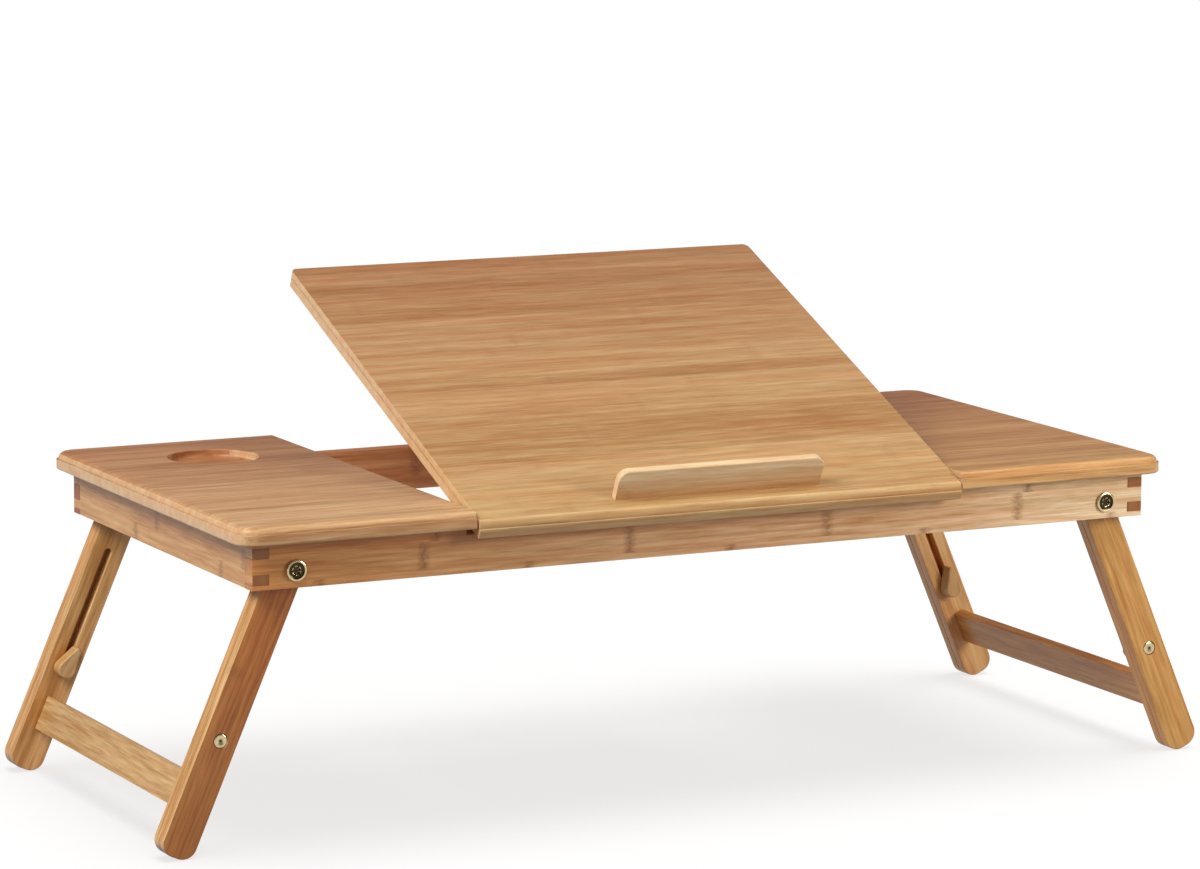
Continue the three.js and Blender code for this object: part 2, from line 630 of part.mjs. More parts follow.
/** Rack bar: a low beam that bridges over the folded legs, with as many notches as its flat holds. */
function rackBar(side) {
  const reach = innerY - GAP;
  const shoulder = neckY - NECK_LENGTH;
  const outline = new THREE.Shape();
  outline.moveTo(-neckY, rackBottom);
  outline.lineTo(neckY, rackBottom);
  outline.lineTo(neckY, laneTop);
  outline.lineTo(reach, laneTop);
  outline.lineTo(reach, railTop);
  outline.lineTo(shoulder, railTop);
  outline.absarc(shoulder - NECK_FILLET, rackTop + NECK_FILLET, NECK_FILLET, 0, -Math.PI / 2, true);
  const floor = rackTop - NOTCH_DEPTH + NOTCH_RADIUS;
  for (let i = NOTCHES_BEHIND; i >= -NOTCHES_BEFORE; i--) {
    const place = footPlace(tilt) + i * RACK_PITCH;
    if (place + NOTCH_RADIUS >= shoulder - NECK_FILLET) continue;
    outline.lineTo(place + NOTCH_RADIUS, rackTop);
    outline.absarc(place, floor, NOTCH_RADIUS, 0, -Math.PI, true);
    outline.lineTo(place - NOTCH_RADIUS, rackTop);
  }
  outline.absarc(NECK_FILLET - shoulder, rackTop + NECK_FILLET, NECK_FILLET, -Math.PI / 2, -Math.PI, true);
  outline.lineTo(-shoulder, railTop);
  outline.lineTo(-reach, railTop);
  outline.lineTo(-reach, laneTop);
  outline.lineTo(-neckY, laneTop);
  outline.closePath();
  return prismAlongX(outline, onSide(side, rackX, rackX + RACK_WIDTH));
}

// Drawer

/** Runner: an upright guide beside the drawer, with a ledge under its side. */
function drawerRunner(side) {
  const guide = drawerHalf + DRAWER_GAP;
  const ledgeTop = drawerBottom - GAP;
  const outline = polygon([
    [guide - RUNNER_REACH, railBottom],
    [guide + RUNNER_WEB, railBottom],
    [guide + RUNNER_WEB, drawerSideZ[1]],
    [guide, drawerSideZ[1]],
    [guide, ledgeTop],
    [guide - RUNNER_REACH, ledgeTop],
  ].map(([y, z]) => [side * y, z]));
  return prismAlongX(outline, [crossX + CROSS_THICKNESS + GAP, innerX - GAP]);
}

/** Drawer front, flush with the end rail, with a half-round finger notch in its upper edge. */
function drawerFront() {
  const top = windowTop - DRAWER_GAP;
  const notch = rodAlongX(FINGER_NOTCH_RADIUS, [innerX - OVERRUN, endX + OVERRUN]);
  return block([innerX, endX], [-drawerHalf, drawerHalf], [drawerBottom, top])
    .subtract(notch.translate([0, 0, top]));
}

// Assembly

const desk = new THREE.Group();

/** Adds one named piece to a group. */
function add(group, name, solid, material) {
  const mesh = new THREE.Mesh(geometryOf(solid), material);
  mesh.name = name;
  group.add(mesh);
}

const ends = [['left', -1, KNOB_TURN_DEGREES[0]], ['right', 1, KNOB_TURN_DEGREES[1]]];
const sides = [['front', -1], ['back', 1]];

add(desk, 'front_rail', longRail(-1).subtract(frontBevel()), railBamboo);
add(desk, 'back_rail', longRail(1), railBamboo);
add(desk, 'left_end_rail', endRail(-1), railBamboo);
add(desk, 'right_end_rail', endRail(1).subtract(drawerWindow()), railBamboo);
add(desk, 'left_deck', deck(-1).subtract(cupRecess()), topBamboo);
add(desk, 'right_deck', deck(1), topBamboo);

for (const [endName, end, knobTurn] of ends) {
  add(desk, `${endName}_cross_rail`, crossRail(end), insideBamboo);
  add(desk, `${endName}_rack_bar`, rackBar(end), insideBamboo);
  const pinX = onSide(end, pinMiddle - PIN_LENGTH / 2, pinMiddle + PIN_LENGTH / 2);
  const pin = rodAlongX(PIN_RADIUS, pinX, SHANK_BREAK);
  add(desk, `${endName}_panel_pin`, pin.translate([0, hingeY, hingeZ]), brassedSteel);

  const leg = new THREE.Group();
  leg.position.set(end * pivotX, 0, pivotZ);
  leg.rotation.y = -end * splay;
  desk.add(leg);
  const bolts = new THREE.Group();
  bolts.position.set(0, 0, -clampAlong);
  leg.add(bolts);
  add(leg, `${endName}_stretcher`, stretcher(), legBamboo);
  for (const [sideName, side] of sides) {
    const corner = `${endName}_${sideName}`;
    add(desk, `${corner}_pivot_bolt`, pivotBolt(side).translate([end * pivotX, 0, pivotZ]), brassedSteel);
    add(leg, `${corner}_outer_slat`, outerSlatSolid(side), legBamboo);
    add(leg, `${corner}_inner_slat`, innerSlatSolid(side), legBamboo);
    add(bolts, `${corner}_clamp_bolt`, clampBolt(side), brassedSteel);
    add(bolts, `${corner}_knob`, knob(side).rotate([0, knobTurn, 0]), paleBamboo);
  }
}

const panel = new THREE.Group();
panel.position.set(0, hingeY, hingeZ);
panel.rotation.x = tilt;
desk.add(panel);
add(panel, 'tilting_panel', tiltingPanel(), topBamboo);
add(panel, 'stop_ledge', stopLedge(), paleBamboo);
add(panel, 'left_hinge_block', hingeBlock(-1), insideBamboo);
add(panel, 'right_hinge_block', hingeBlock(1), insideBamboo);
const pinHalf = blockX + BLOCK_WIDTH;
const propPin = rodAlongX(PROP_PIN_RADIUS, [-pinHalf, pinHalf], SHANK_BREAK);
add(panel, 'prop_pin', propPin.translate([0, propSeat, propPinZ]), brassedSteel);

const prop = new THREE.Group();
prop.position.set(0, propSeat, propPinZ);
prop.rotation.x = -tilt - propLean(tilt);
panel.add(prop);
add(prop, 'prop_board', propBoard(), insideBamboo);
const footHalf = rackX + RACK_WIDTH;
const footDowel = rodAlongX(FOOT_RADIUS, [-footHalf, footHalf], SHANK_BREAK);
add(prop, 'prop_foot_dowel', footDowel.translate([0, propLength, 0]), paleBamboo);

for (const [sideName, side] of sides) {
  add(desk, `${sideName}_drawer_runner`, drawerRunner(side), insideBamboo);
  const y = onSide(side, drawerHalf - DRAWER_BOARD, drawerHalf);
  add(desk, `${sideName}_drawer_side`, block(drawerSideX, y, drawerSideZ), insideBamboo);
}
add(desk, 'drawer_front', drawerFront(), railBamboo);
const acrossInside = [-drawerInside, drawerInside];
const backX = [drawerBackX, drawerBackX + DRAWER_BOARD];
add(desk, 'drawer_back', block(backX, acrossInside, drawerSideZ), insideBamboo);
const floorX = [backX[1] + GAP, innerX - GAP];
const floorZ = [drawerBottom + DRAWER_FLOOR_RISE, drawerBottom + DRAWER_FLOOR_RISE + DRAWER_FLOOR];
add(desk, 'drawer_floor', block(floorX, acrossInside, floorZ), insideBamboo);

export default desk;
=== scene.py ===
"""Looks of the bamboo bed desk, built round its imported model.

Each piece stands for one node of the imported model, lies where that node lies and rides on its body. Sizes are
in millimetres, angles in degrees, and the finished meshes in metres: +X right, +Y back, +Z up from the floor.
"""
import sys

import json
import logging
import math
from collections.abc import Iterable, Sequence
from dataclasses import dataclass, field
from enum import Enum
from functools import partial

import bpy
import numpy as np
from mathutils import Matrix
from mathutils.geometry import tessellate_polygon

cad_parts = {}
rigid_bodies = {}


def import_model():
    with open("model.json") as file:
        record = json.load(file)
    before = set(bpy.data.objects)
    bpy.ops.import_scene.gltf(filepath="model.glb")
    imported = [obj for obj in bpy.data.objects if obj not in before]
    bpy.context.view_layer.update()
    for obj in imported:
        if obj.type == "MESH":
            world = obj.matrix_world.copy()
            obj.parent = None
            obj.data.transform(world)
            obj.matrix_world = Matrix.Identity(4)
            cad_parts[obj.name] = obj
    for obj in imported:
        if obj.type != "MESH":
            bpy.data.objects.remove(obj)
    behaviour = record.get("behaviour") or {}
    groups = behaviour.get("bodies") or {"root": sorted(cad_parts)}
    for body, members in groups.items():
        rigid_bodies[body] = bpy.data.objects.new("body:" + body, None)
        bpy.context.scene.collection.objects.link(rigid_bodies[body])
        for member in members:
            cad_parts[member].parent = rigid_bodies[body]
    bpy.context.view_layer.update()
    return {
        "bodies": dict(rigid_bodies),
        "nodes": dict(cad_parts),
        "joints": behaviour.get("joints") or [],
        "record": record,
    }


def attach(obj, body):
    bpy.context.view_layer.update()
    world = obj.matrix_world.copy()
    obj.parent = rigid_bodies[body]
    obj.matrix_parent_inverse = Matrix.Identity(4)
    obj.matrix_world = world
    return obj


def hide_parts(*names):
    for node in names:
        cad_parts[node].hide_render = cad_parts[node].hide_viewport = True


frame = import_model()

MM = 0.001                              # one millimetre, in the metres of the scene
SAME_POINT = 1e-6                       # points nearer than this are one
EASE_STEPS = 3                          # divisions of a small rounded arris
SHARP_DEGREES = 38.0                    # edges steeper than this stay crisp
ROD_STEPS = 40                          # sides of a plain pin
GRAIN_SHIFT = (556.227, 129.884, 0.0)   # how far the wood's pattern moves from one piece to the next
END_GRAIN = (0.4, 0.5)                  # share of the normal along the fibres: where it starts, and its range
SIDEWAYS = 0.7                          # a face looks sideways from this share of its normal
NOISE_ROUGHNESS = 0.6                   # how strong the finer parts of the wood's noise are
PLAIN = "ffffff"                        # white: as a tint it changes nothing
FACTOR, FIRST, SECOND, MIXED = 0, 6, 7, 2   # the Mix node's inputs and output for colours
FIRST_VALUE, SECOND_VALUE = 2, 3        # and its inputs for plain numbers
ENDS = (("left", -1), ("right", 1))
SIDES = (("front", -1), ("back", 1))

Array = np.ndarray
Pair = tuple[float, float]
Triple = tuple[float, float, float]
Socket, Tree, Thing = bpy.types.NodeSocket, bpy.types.NodeTree, bpy.types.Object

log = logging.getLogger("bed_desk")


# Places and outlines


@dataclass(frozen=True)
class Placing:
    """A piece's own axes in the row frame."""

    origin: Triple = (0.0, 0.0, 0.0)
    u: Triple = (1.0, 0.0, 0.0)
    v: Triple = (0.0, 1.0, 0.0)
    w: Triple = (0.0, 0.0, 1.0)

    def axes(self) -> Array:
        """The three axes as the rows of a matrix."""
        return np.array([self.u, self.v, self.w], float)

    def place(self, points: Array) -> Array:
        """Points in the row frame: origin + u, v and w times the point's own three numbers."""
        return np.array(self.origin) + points @ self.axes()

    def about(self, *point: float) -> "Placing":
        """The same axes with one of the piece's own points as the origin."""
        return Placing(tuple(self.place(np.array(point))), self.u, self.v, self.w)

    def mirrors(self) -> bool:
        """Whether the axes are left-handed, which turns a face over."""
        return float(np.linalg.det(self.axes())) < 0


def arc(centre: Sequence[float], radius: float, start: float, end: float, steps: int) -> Array:
    """Points on an arc: centre + radius times the cosine and sine of an angle that runs from start to end.

    Args:
        centre: Middle of the arc.
        radius: Its radius.
        start: First angle, in degrees.
        end: Last angle, in degrees.
        steps: Number of divisions.

    Returns:
        An array of steps + 1 points.
    """
    angle = np.radians(np.linspace(start, end, steps + 1))
    return np.array(centre) + radius * np.column_stack([np.cos(angle), np.sin(angle)])


def outline(*parts: Iterable) -> Array:
    """One counter-clockwise loop from runs of points, turned round if its cross products' sum is negative.

    Args:
        parts: Points or arrays of points, in order round the shape.

    Returns:
        The loop, without points that repeat the one before.
    """
    loop = np.vstack([np.atleast_2d(np.asarray(part, float)) for part in parts])
    loop = loop[np.linalg.norm(loop - np.roll(loop, 1, axis=0), axis=1) > SAME_POINT]
    after = np.roll(loop, -1, axis=0)
    area = np.sum(loop[:, 0] * after[:, 1] - after[:, 0] * loop[:, 1])
    return loop if area > 0 else loop[::-1]


def rectangle(u: Sequence[float], v: Sequence[float]) -> Array:
    """Counter-clockwise rectangle between two pairs of edges."""
    return outline((u[0], v[0]), (u[1], v[0]), (u[1], v[1]), (u[0], v[1]))


def mirrored(path: Sequence[Pair]) -> Array:
    """The loop of a path on the right and its mirror image on the left."""
    right = np.array(path, float)
    return outline(right, (right * [-1.0, 1.0])[::-1])


def inward(loop: Array) -> Array:
    """How each point of a loop moves when the loop shrinks by one.

    The move is the sum of the inward normals of the two edges at the point, over 1 + their dot product.

    Args:
        loop: A counter-clockwise outline.

    Returns:
        The move of each point.
    """
    edge = np.roll(loop, -1, axis=0) - loop
    edge /= np.linalg.norm(edge, axis=1)[:, None]
    after = np.column_stack([-edge[:, 1], edge[:, 0]])
    before = np.roll(after, 1, axis=0)
    return (before + after) / (1 + np.sum(before * after, axis=1))[:, None]


# Closed surfaces


def raised(flat: Array, heights: Array) -> Array:
    """Rings of points in space: each flat ring at its own height."""
    return np.concatenate([flat, np.broadcast_to(heights[:, None, None], flat.shape[:2] + (1,))], axis=2)


@dataclass(frozen=True)
class Hole:
    """A hole square to a board's faces, its wall at centres + radius * directions, walked clockwise."""

    centres: Array
    directions: Array
    profile: Sequence[Pair]                 # radius and place, from the low end up
    blind: bool = False                     # it has a floor at its low end

    def rings(self) -> Array:
        """Rings of the wall, one for each step of the profile."""
        radius, place = np.array(self.profile, float).T
        return raised(self.centres + radius[:, None, None] * self.directions, place)


def round_hole(centre: Sequence[float], profile: Sequence[Pair], blind: bool = False, steps: int = 32,
               reach: float = 0.0) -> Hole:
    """A round hole, or with reach a slot whose upper end lies that far up from its centre.

    Args:
        centre: Middle of the hole, or of the slot's lower end.
        profile: Radius and place of each ring, from the low end up.
        blind: Whether it has a floor.
        steps: Number of sides.
        reach: Length of the slot between the centres of its ends.

    Returns:
        The hole.
    """
    angle = -2 * np.pi * (np.arange(steps) + 0.5) / steps
    directions = np.column_stack([np.cos(angle), np.sin(angle)])
    lift = np.where(directions[:, 1] > 0, reach, 0.0)
    return Hole(np.array(centre) + np.column_stack([np.zeros(steps), lift]), directions, profile, blind)


def corner_hole(u: Pair, v: Pair, profile: Sequence[Pair], blind: bool = False) -> Hole:
    """A rectangular hole; the profile's radius is how far its edges stand out from u and v."""
    loop = rectangle(u, v)
    return Hole(loop[::-1], -inward(loop)[::-1], profile, blind)


def bore(radius: float, span: Pair, ease: float = 0.3) -> list[Pair]:
    """Profile of a plain hole through a board, with its two edges eased."""
    low, high = span
    return [(radius + ease, low), (radius, low + ease), (radius, high - ease), (radius + ease, high)]


class Shell:
    """A closed surface in a piece's own axes: an outer wall, the walls and floors of holes, two flat ends."""

    def __init__(self, rings: Array, holes: Sequence[Hole] = ()) -> None:
        """Builds the surface.

        Args:
            rings: The outer wall's rings, from the low end up.
            holes: Holes that open at the high end, and at the low end too unless they are blind.
        """
        self.points = np.empty((0, 3))
        self.faces: list[list[int]] = []
        outer = self.wall(rings)
        walls = [(self.wall(hole.rings()), hole.blind) for hole in holes]
        self.close(outer[-1], [wall[-1] for wall, _ in walls])
        self.close(outer[0], [wall[0] for wall, blind in walls if not blind], upward=False)
        for wall, blind in walls:
            if blind:
                self.close(wall[0][::-1])

    def wall(self, rings: Array) -> Array:
        """Adds closed rings, joined one to the next by quads.

        Args:
            rings: Array of rings by points by 3, counter-clockwise about the solid, from the low end up.

        Returns:
            The numbers of the points, in the same arrangement.
        """
        rows, columns = rings.shape[:2]
        numbers = len(self.points) + np.arange(rows * columns).reshape(rows, columns)
        beside = np.roll(numbers, -1, axis=1)
        quads = np.stack([numbers[:-1], beside[:-1], beside[1:], numbers[1:]], axis=-1)
        self.faces += quads.reshape(-1, 4).tolist()
        self.points = np.vstack([self.points, rings.reshape(-1, 3)])
        return numbers

    def close(self, ring: Array, holes: Sequence[Array] = (), upward: bool = True) -> None:
        """Fills the flat area inside a ring and outside the rings of its holes.

        Args:
            ring: Numbers of the outer ring's points, counter-clockwise.
            holes: The same for each hole.
            upward: Whether the face looks up.
        """
        if not holes:
            self.faces.append((ring if upward else ring[::-1]).tolist())
            return
        loops = [ring, *holes]
        corners = np.concatenate(loops)
        triangles = np.array(tessellate_polygon([self.points[loop].tolist() for loop in loops]))
        a, b, c = (self.points[corners[triangles[:, k]]] for k in range(3))
        area = np.cross(b - a, c - a)[:, 2]
        wrong = (area < 0) if upward else (area > 0)
        triangles[wrong] = triangles[wrong][:, ::-1]
        self.faces += corners[triangles[area != 0]].tolist()


def quarter_turns(steps: int) -> Array:
    """Angles from 0 to a right angle, in radians."""
    return np.linspace(0, np.pi / 2, steps + 1)


def arrises(span: Pair, ease: float, steps: int = EASE_STEPS) -> tuple[Array, Array]:
    """Inset and place of each ring of a wall with rounded arrises.

    At each end the inset is ease * (1 - sin a) where the place is ease * (1 - cos a) from the face.

    Args:
        span: Low and high end.
        ease: Radius of the arris.
        steps: Its divisions.

    Returns:
        The insets, and the places.
    """
    turn = quarter_turns(steps)
    rise, inset = ease * (1 - np.cos(turn)), ease * (1 - np.sin(turn))
    return np.concatenate([inset, inset[::-1]]), np.concatenate([span[0] + rise, span[1] - rise[::-1]])


def eased_prism(low: Array, span: Pair, ease: float, holes: Sequence[Hole] = (), high: Array | None = None,
                steps: int = EASE_STEPS) -> Shell:
    """A board with a drawn outline and rounded arrises.

    A point at height w is the outline's point at w + inset * its inward move. The outline goes evenly from
    low to high.

    Args:
        low: Outline at the low end.
        span: Low and high end.
        ease: Radius of the arris.
        holes: Holes through the board.
        high: Outline at the high end, if it is another one with as many points.
        steps: Divisions of the arris.

    Returns:
        The closed shell.
    """
    high = low if high is None else high
    inset, place = arrises(span, ease, steps)
    share = ((place - span[0]) / (span[1] - span[0]))[:, None, None]
    moves = inward(low) + share * (inward(high) - inward(low))
    return Shell(raised(low + share * (high - low) + inset[:, None, None] * moves, place), holes)


def turned(profile: Sequence[Pair] | Array, steps: int = 64, hexagon: Sequence[float] = (0.0,)) -> Shell:
    """A turned piece on its own w axis: radius * (cos a, sin a) at each step of the profile.

    Args:
        profile: Radius and place, from the low end up.
        steps: Number of sides.
        hexagon: For each step, the share in which the radius follows a hexagon: cos 30 over the cosine of the
            angle from the middle of its side.

    Returns:
        The closed shell.
    """
    radius, place = np.array(profile, float).T
    angle = 2 * np.pi * np.arange(steps) / steps
    side = np.cos(np.pi / 6) / np.cos(np.mod(angle, np.pi / 3) - np.pi / 6)
    reach = radius[:, None] * (1 + np.array(hexagon)[:, None] * (side - 1))
    return Shell(raised(np.stack([reach * np.cos(angle), reach * np.sin(angle)], axis=-1), place))


def rod(radius: float, span: Pair, chamfer: float = 0.5) -> Shell:
    """A plain round bar with rounded ends."""
    inset, place = arrises(span, chamfer)
    return turned(np.column_stack([radius - inset, place]), ROD_STEPS)


@dataclass(frozen=True)
class Moulding:
    """The moulded edge of the boards: an upright band, a small ledge and a quarter round up to the top."""

    thickness: float = 12.5
    band: float = 7.6                       # height of the upright band
    ledge: float = 1.4                      # width of the ledge over the band
    underbreak: float = 1.6                 # rounded lower edge
    band_break: float = 0.45                # rounded upper edge of the band
    cove: Pair = (0.35, 0.14)               # hollow in the step's inner corner: down, and in
    plain_ease: float = 0.6                 # rounded edges of the sides that have no moulding
    steps: tuple[int, int, int] = (4, 3, 10)    # divisions of the two breaks and of the quarter round

    def rings(self) -> tuple[Array, Array, Array]:
        """Insets and heights from the underside up.

        The quarter round is inset ledge + r * (1 - cos a) at band + r * sin a, with r the rest of the
        thickness. A plain side's inset at height z is e - sqrt(e^2 - d^2), d being how far z reaches into
        the last e millimetres at the top or the bottom.

        Returns:
            The moulded sides' insets, the plain sides' insets, and the heights.
        """
        low, top, over = (quarter_turns(steps) for steps in self.steps)
        radius, (down, hollow) = self.thickness - self.band, self.cove
        inset = np.concatenate([
            self.underbreak * (1 - np.sin(low)), self.band_break * (1 - np.cos(top)), [self.ledge + hollow],
            self.ledge + radius * (1 - np.cos(over[1:]))])
        height = np.concatenate([
            self.underbreak * (1 - np.cos(low)), self.band - self.band_break * (1 - np.sin(top)),
            [self.band - down], self.band + radius * np.sin(over[1:])])
        ease = self.plain_ease
        depth = np.maximum(ease - height, height - (self.thickness - ease)).clip(0, ease)
        return inset, ease - np.sqrt(ease ** 2 - depth ** 2), height

    def board(self, base: Array, moulded: Array, plain: Array, rise: float, holes: Sequence[Hole]) -> Shell:
        """A board lofted through the edge's rings: base + inset * inward move, for either kind of side.

        Args:
            base: The board's outline at its widest.
            moulded: Each point's inward move on moulded sides.
            plain: Each point's inward move on plain sides.
            rise: Height of the underside.
            holes: Holes that open at the top.

        Returns:
            The closed shell.
        """
        inset, side, height = self.rings()
        return Shell(raised(base + inset[:, None, None] * moulded + side[:, None, None] * plain,
                            rise + height), holes)


# Finishes


def linear(colour: str) -> tuple[float, float, float, float]:
    """An sRGB hex colour in linear light.

    Each part v becomes v / 12.92 up to 0.04045, and ((v + 0.055) / 1.055) to the power 2.4 above that.

    Args:
        colour: Six hex digits.

    Returns:
        Red, green, blue and an alpha of 1.
    """
    parts = [int(colour[k:k + 2], 16) / 255 for k in (0, 2, 4)]
    red, green, blue = (p / 12.92 if p <= 0.04045 else ((p + 0.055) / 1.055) ** 2.4 for p in parts)
    return red, green, blue, 1.0


def add_node(tree: Tree, kind: str, *values: object, inputs: dict[int | str, object] | None = None,
             output: int | str = 0, **settings: object) -> Socket | None:
    """Adds one node with its settings, its values and its links.

    Args:
        tree: The material's or world's node tree.
        kind: The node's type, without the word ShaderNode.
        values: A value, or the output that feeds it, for each of its first inputs.
        inputs: The same for further inputs, by name or number.
        output: Which of its outputs is wanted.
        settings: Properties of the node.

    Returns:
        That output, or None where the node has none.
    """
    node = tree.nodes.new(f"ShaderNode{kind}")
    for name, value in settings.items():
        setattr(node, name, value)
    for name, value in (dict(enumerate(values)) | (inputs or {})).items():
        if isinstance(value, Socket):
            tree.links.new(value, node.inputs[name])
        else:
            node.inputs[name].default_value = value
    return node.outputs[output] if len(node.outputs) else None


def new_material(name: str) -> tuple[bpy.types.Material, Tree]:
    """An empty node material.

    Args:
        name: What it is called.

    Returns:
        The material and its tree.
    """
    material = bpy.data.materials.new(name)
    material.use_nodes = True
    material.node_tree.nodes.clear()
    return material, material.node_tree


class Wood:
    """The wood's coordinates inside one material, and noise drawn out along its fibres."""

    def __init__(self, tree: Tree) -> None:
        """Reads the mesh attributes: "grain" is metres along, across and through the board.

        Args:
            tree: The material's node tree.
        """
        self.put = partial(add_node, tree)
        self.grain = self.put("Attribute", output="Vector", attribute_name="grain")
        self.ends = self.put("Attribute", output="Fac", attribute_name="end_grain")
        # colour of each corner: the board's own tone with painted shade laid over it
        self.tone_and_painted_shade = self.put("Attribute", output="Color", attribute_name="tone_and_painted_shade")
        self.along, self.across, self.through = self.put("SeparateXYZ", self.grain).node.outputs

    def noise(self, size: Triple) -> Socket:
        """Noise drawn out along the fibres.

        Args:
            size: Length and width of its grain in mm, and its detail.

        Returns:
            The noise, from 0 to 1.
        """
        along, across, detail = size
        scale = 1 / (along * MM), 1 / (across * MM), 1 / (across * MM)
        place = self.put("VectorMath", self.grain, scale, operation="MULTIPLY")
        return self.put("TexNoise", inputs={
            "Vector": place, "Scale": 1.0, "Detail": detail, "Roughness": NOISE_ROUGHNESS})


@dataclass(frozen=True)
class Bamboo:
    """Laminated bamboo, planed, sanded and varnished satin.

    Strips of split cane are glued side by side, so the eye sees long bands of slightly different honey
    tones with a pink or yellow cast, dark fibres along them, a mottled patch where a strip has a knuckle, and
    a soft sheen. A colour attribute of the mesh multiplies the wood: each board's own tone, with painted shade
    laid over it where a board, one end of it or some of its faces get less light. "end_grain" says how far a
    face looks along the fibres. The finest fibres are drawn 0.8 mm wide, coarser than the real ones, which
    would be too fine to show.
    """

    name: str
    dark: str                               # fibre-rich wood
    light: str                              # pale wood
    knuckle: str = "8f5f38"                 # the nodes of the cane
    cast: str = "f6dccb"                    # what the pinker bands are multiplied by
    strip: float = 19.0                     # width of a strip, mm
    strip_wave: Pair = (2.3, 0.22)          # how fast and how far the strips' widths vary
    ply: float = 6.2                        # thickness of a layer of strips, mm
    ply_shift: float = 0.37                 # how far a layer is moved over the next, in strips
    contrast: float = 0.42                  # how far the strips differ
    bands: float = 1.1                      # strength of the soft bands
    streaks: float = 1.0                    # strength of the streaks
    fibres: float = 0.75                    # strength of the fine fibres
    band_size: Triple = (320.0, 11.0, 3.0)  # length and width in mm, and detail
    streak_size: Triple = (46.0, 2.6, 3.0)
    fibre_size: Triple = (17.0, 0.8, 2.0)
    pink_size: Triple = (210.0, 7.0, 2.0)
    pink: Triple = (0.42, 0.62, 0.6)        # noise where the cast starts and is full, and its strength
    cut_tone: Pair = (0.6, 0.8)             # the even tone of cut ends, and how far they take it
    glue: float = 0.12                      # darkness of the glue lines
    glue_from: float = 0.475                # where a glue line starts, in strips from the strip's middle
    knuckles: float = 0.5                   # darkness of a knuckle
    knuckle_spacing: float = 380.0          # mm between the knuckles of a strip
    knuckle_scatter: float = 7.3            # how far the strips' knuckles are moved against each other
    knuckle_parts: tuple[Triple, ...] = ((6.5, 1.0, 0.85), (1.5, 0.3, 0.2))     # reach, core, strength
    wave_size: Triple = (6.0, 3.0, 2.0)     # the waviness of a knuckle's line
    wave_reach: float = 6.0
    mottle_size: Triple = (4.0, 2.2, 2.0)
    mottle: Triple = (0.35, 0.6, 0.35)      # noise where it starts and is full, and the least it leaves
    roughness: float = 0.44
    roughness_swing: float = 0.07
    ior: float = 1.45
    specular: float = 0.35
    coat: float = 0.2
    coat_roughness: float = 0.26
    bump: float = 0.4
    bump_depth: float = 0.05                # mm

    def build(self) -> bpy.types.Material:
        """Makes the finish.

        Returns:
            The material.
        """
        material, tree = new_material(self.name)
        wood = Wood(tree)
        share, chance = self.strips(wood)
        tone, fine = self.tone(wood, chance)
        rough = wood.put("MapRange", fine, 0.0, 1.0, self.roughness + self.roughness_swing,
                         self.roughness - self.roughness_swing)
        relief = wood.put("Bump", inputs={
            "Strength": self.bump, "Distance": self.bump_depth * MM, "Height": fine})
        shader = wood.put("BsdfPrincipled", inputs={
            "Base Color": self.colour(wood, tone, share, chance), "Roughness": rough, "IOR": self.ior,
            "Specular IOR Level": self.specular, "Coat Weight": self.coat,
            "Coat Roughness": self.coat_roughness, "Normal": relief})
        wood.put("OutputMaterial", shader)
        return material

    def strips(self, wood: Wood) -> tuple[Socket, Socket]:
        """Which strip a point is in.

        The place across is warped by a slow wave, so that neighbouring strips differ in width.

        Args:
            wood: The wood's coordinates.

        Returns:
            How far across its strip the point is, and the strip's own chance number.
        """
        put, (rate, reach) = wood.put, self.strip_wave
        across = put("Math", wood.across, self.strip * MM, operation="DIVIDE")
        wave = put("Math", put("Math", across, rate, operation="MULTIPLY"), operation="SINE")
        layer = put("Math", put("Math", wood.through, self.ply * MM, operation="DIVIDE"), operation="FLOOR")
        shifted = put("Math", layer, self.ply_shift, across, operation="MULTIPLY_ADD")
        warped = put("Math", wave, reach, shifted, operation="MULTIPLY_ADD")
        label = put("CombineXYZ", put("Math", warped, operation="FLOOR"), layer)
        chance = put("TexWhiteNoise", label, output="Value", noise_dimensions="3D")
        return put("Math", warped, operation="FRACT"), chance

    def tone(self, wood: Wood, chance: Socket) -> tuple[Socket, Socket]:
        """Lightness of the wood: the strip's own, then bands, streaks and fibres, and more even on cut ends.

        Args:
            wood: The wood's coordinates.
            chance: The strip's own chance number.

        Returns:
            The tone from dark to light, and the fine fibres alone.
        """
        put, (even_tone, evened) = wood.put, self.cut_tone
        off = put("Math", chance, 0.5, operation="SUBTRACT")
        total = put("Math", off, self.contrast, 0.5, operation="MULTIPLY_ADD")
        for size, weight in ((self.band_size, self.bands), (self.streak_size, self.streaks),
                             (self.fibre_size, self.fibres)):
            noise = wood.noise(size)
            off = put("Math", noise, 0.5, operation="SUBTRACT")
            total = put("Math", off, weight, total, operation="MULTIPLY_ADD", use_clamp=True)
        off = put("Math", even_tone, total, operation="SUBTRACT")
        even = put("Math", off, evened, total, operation="MULTIPLY_ADD")
        mixed = put("Mix", inputs={FACTOR: wood.ends, FIRST_VALUE: total, SECOND_VALUE: even},
                    data_type="FLOAT")
        return mixed, noise

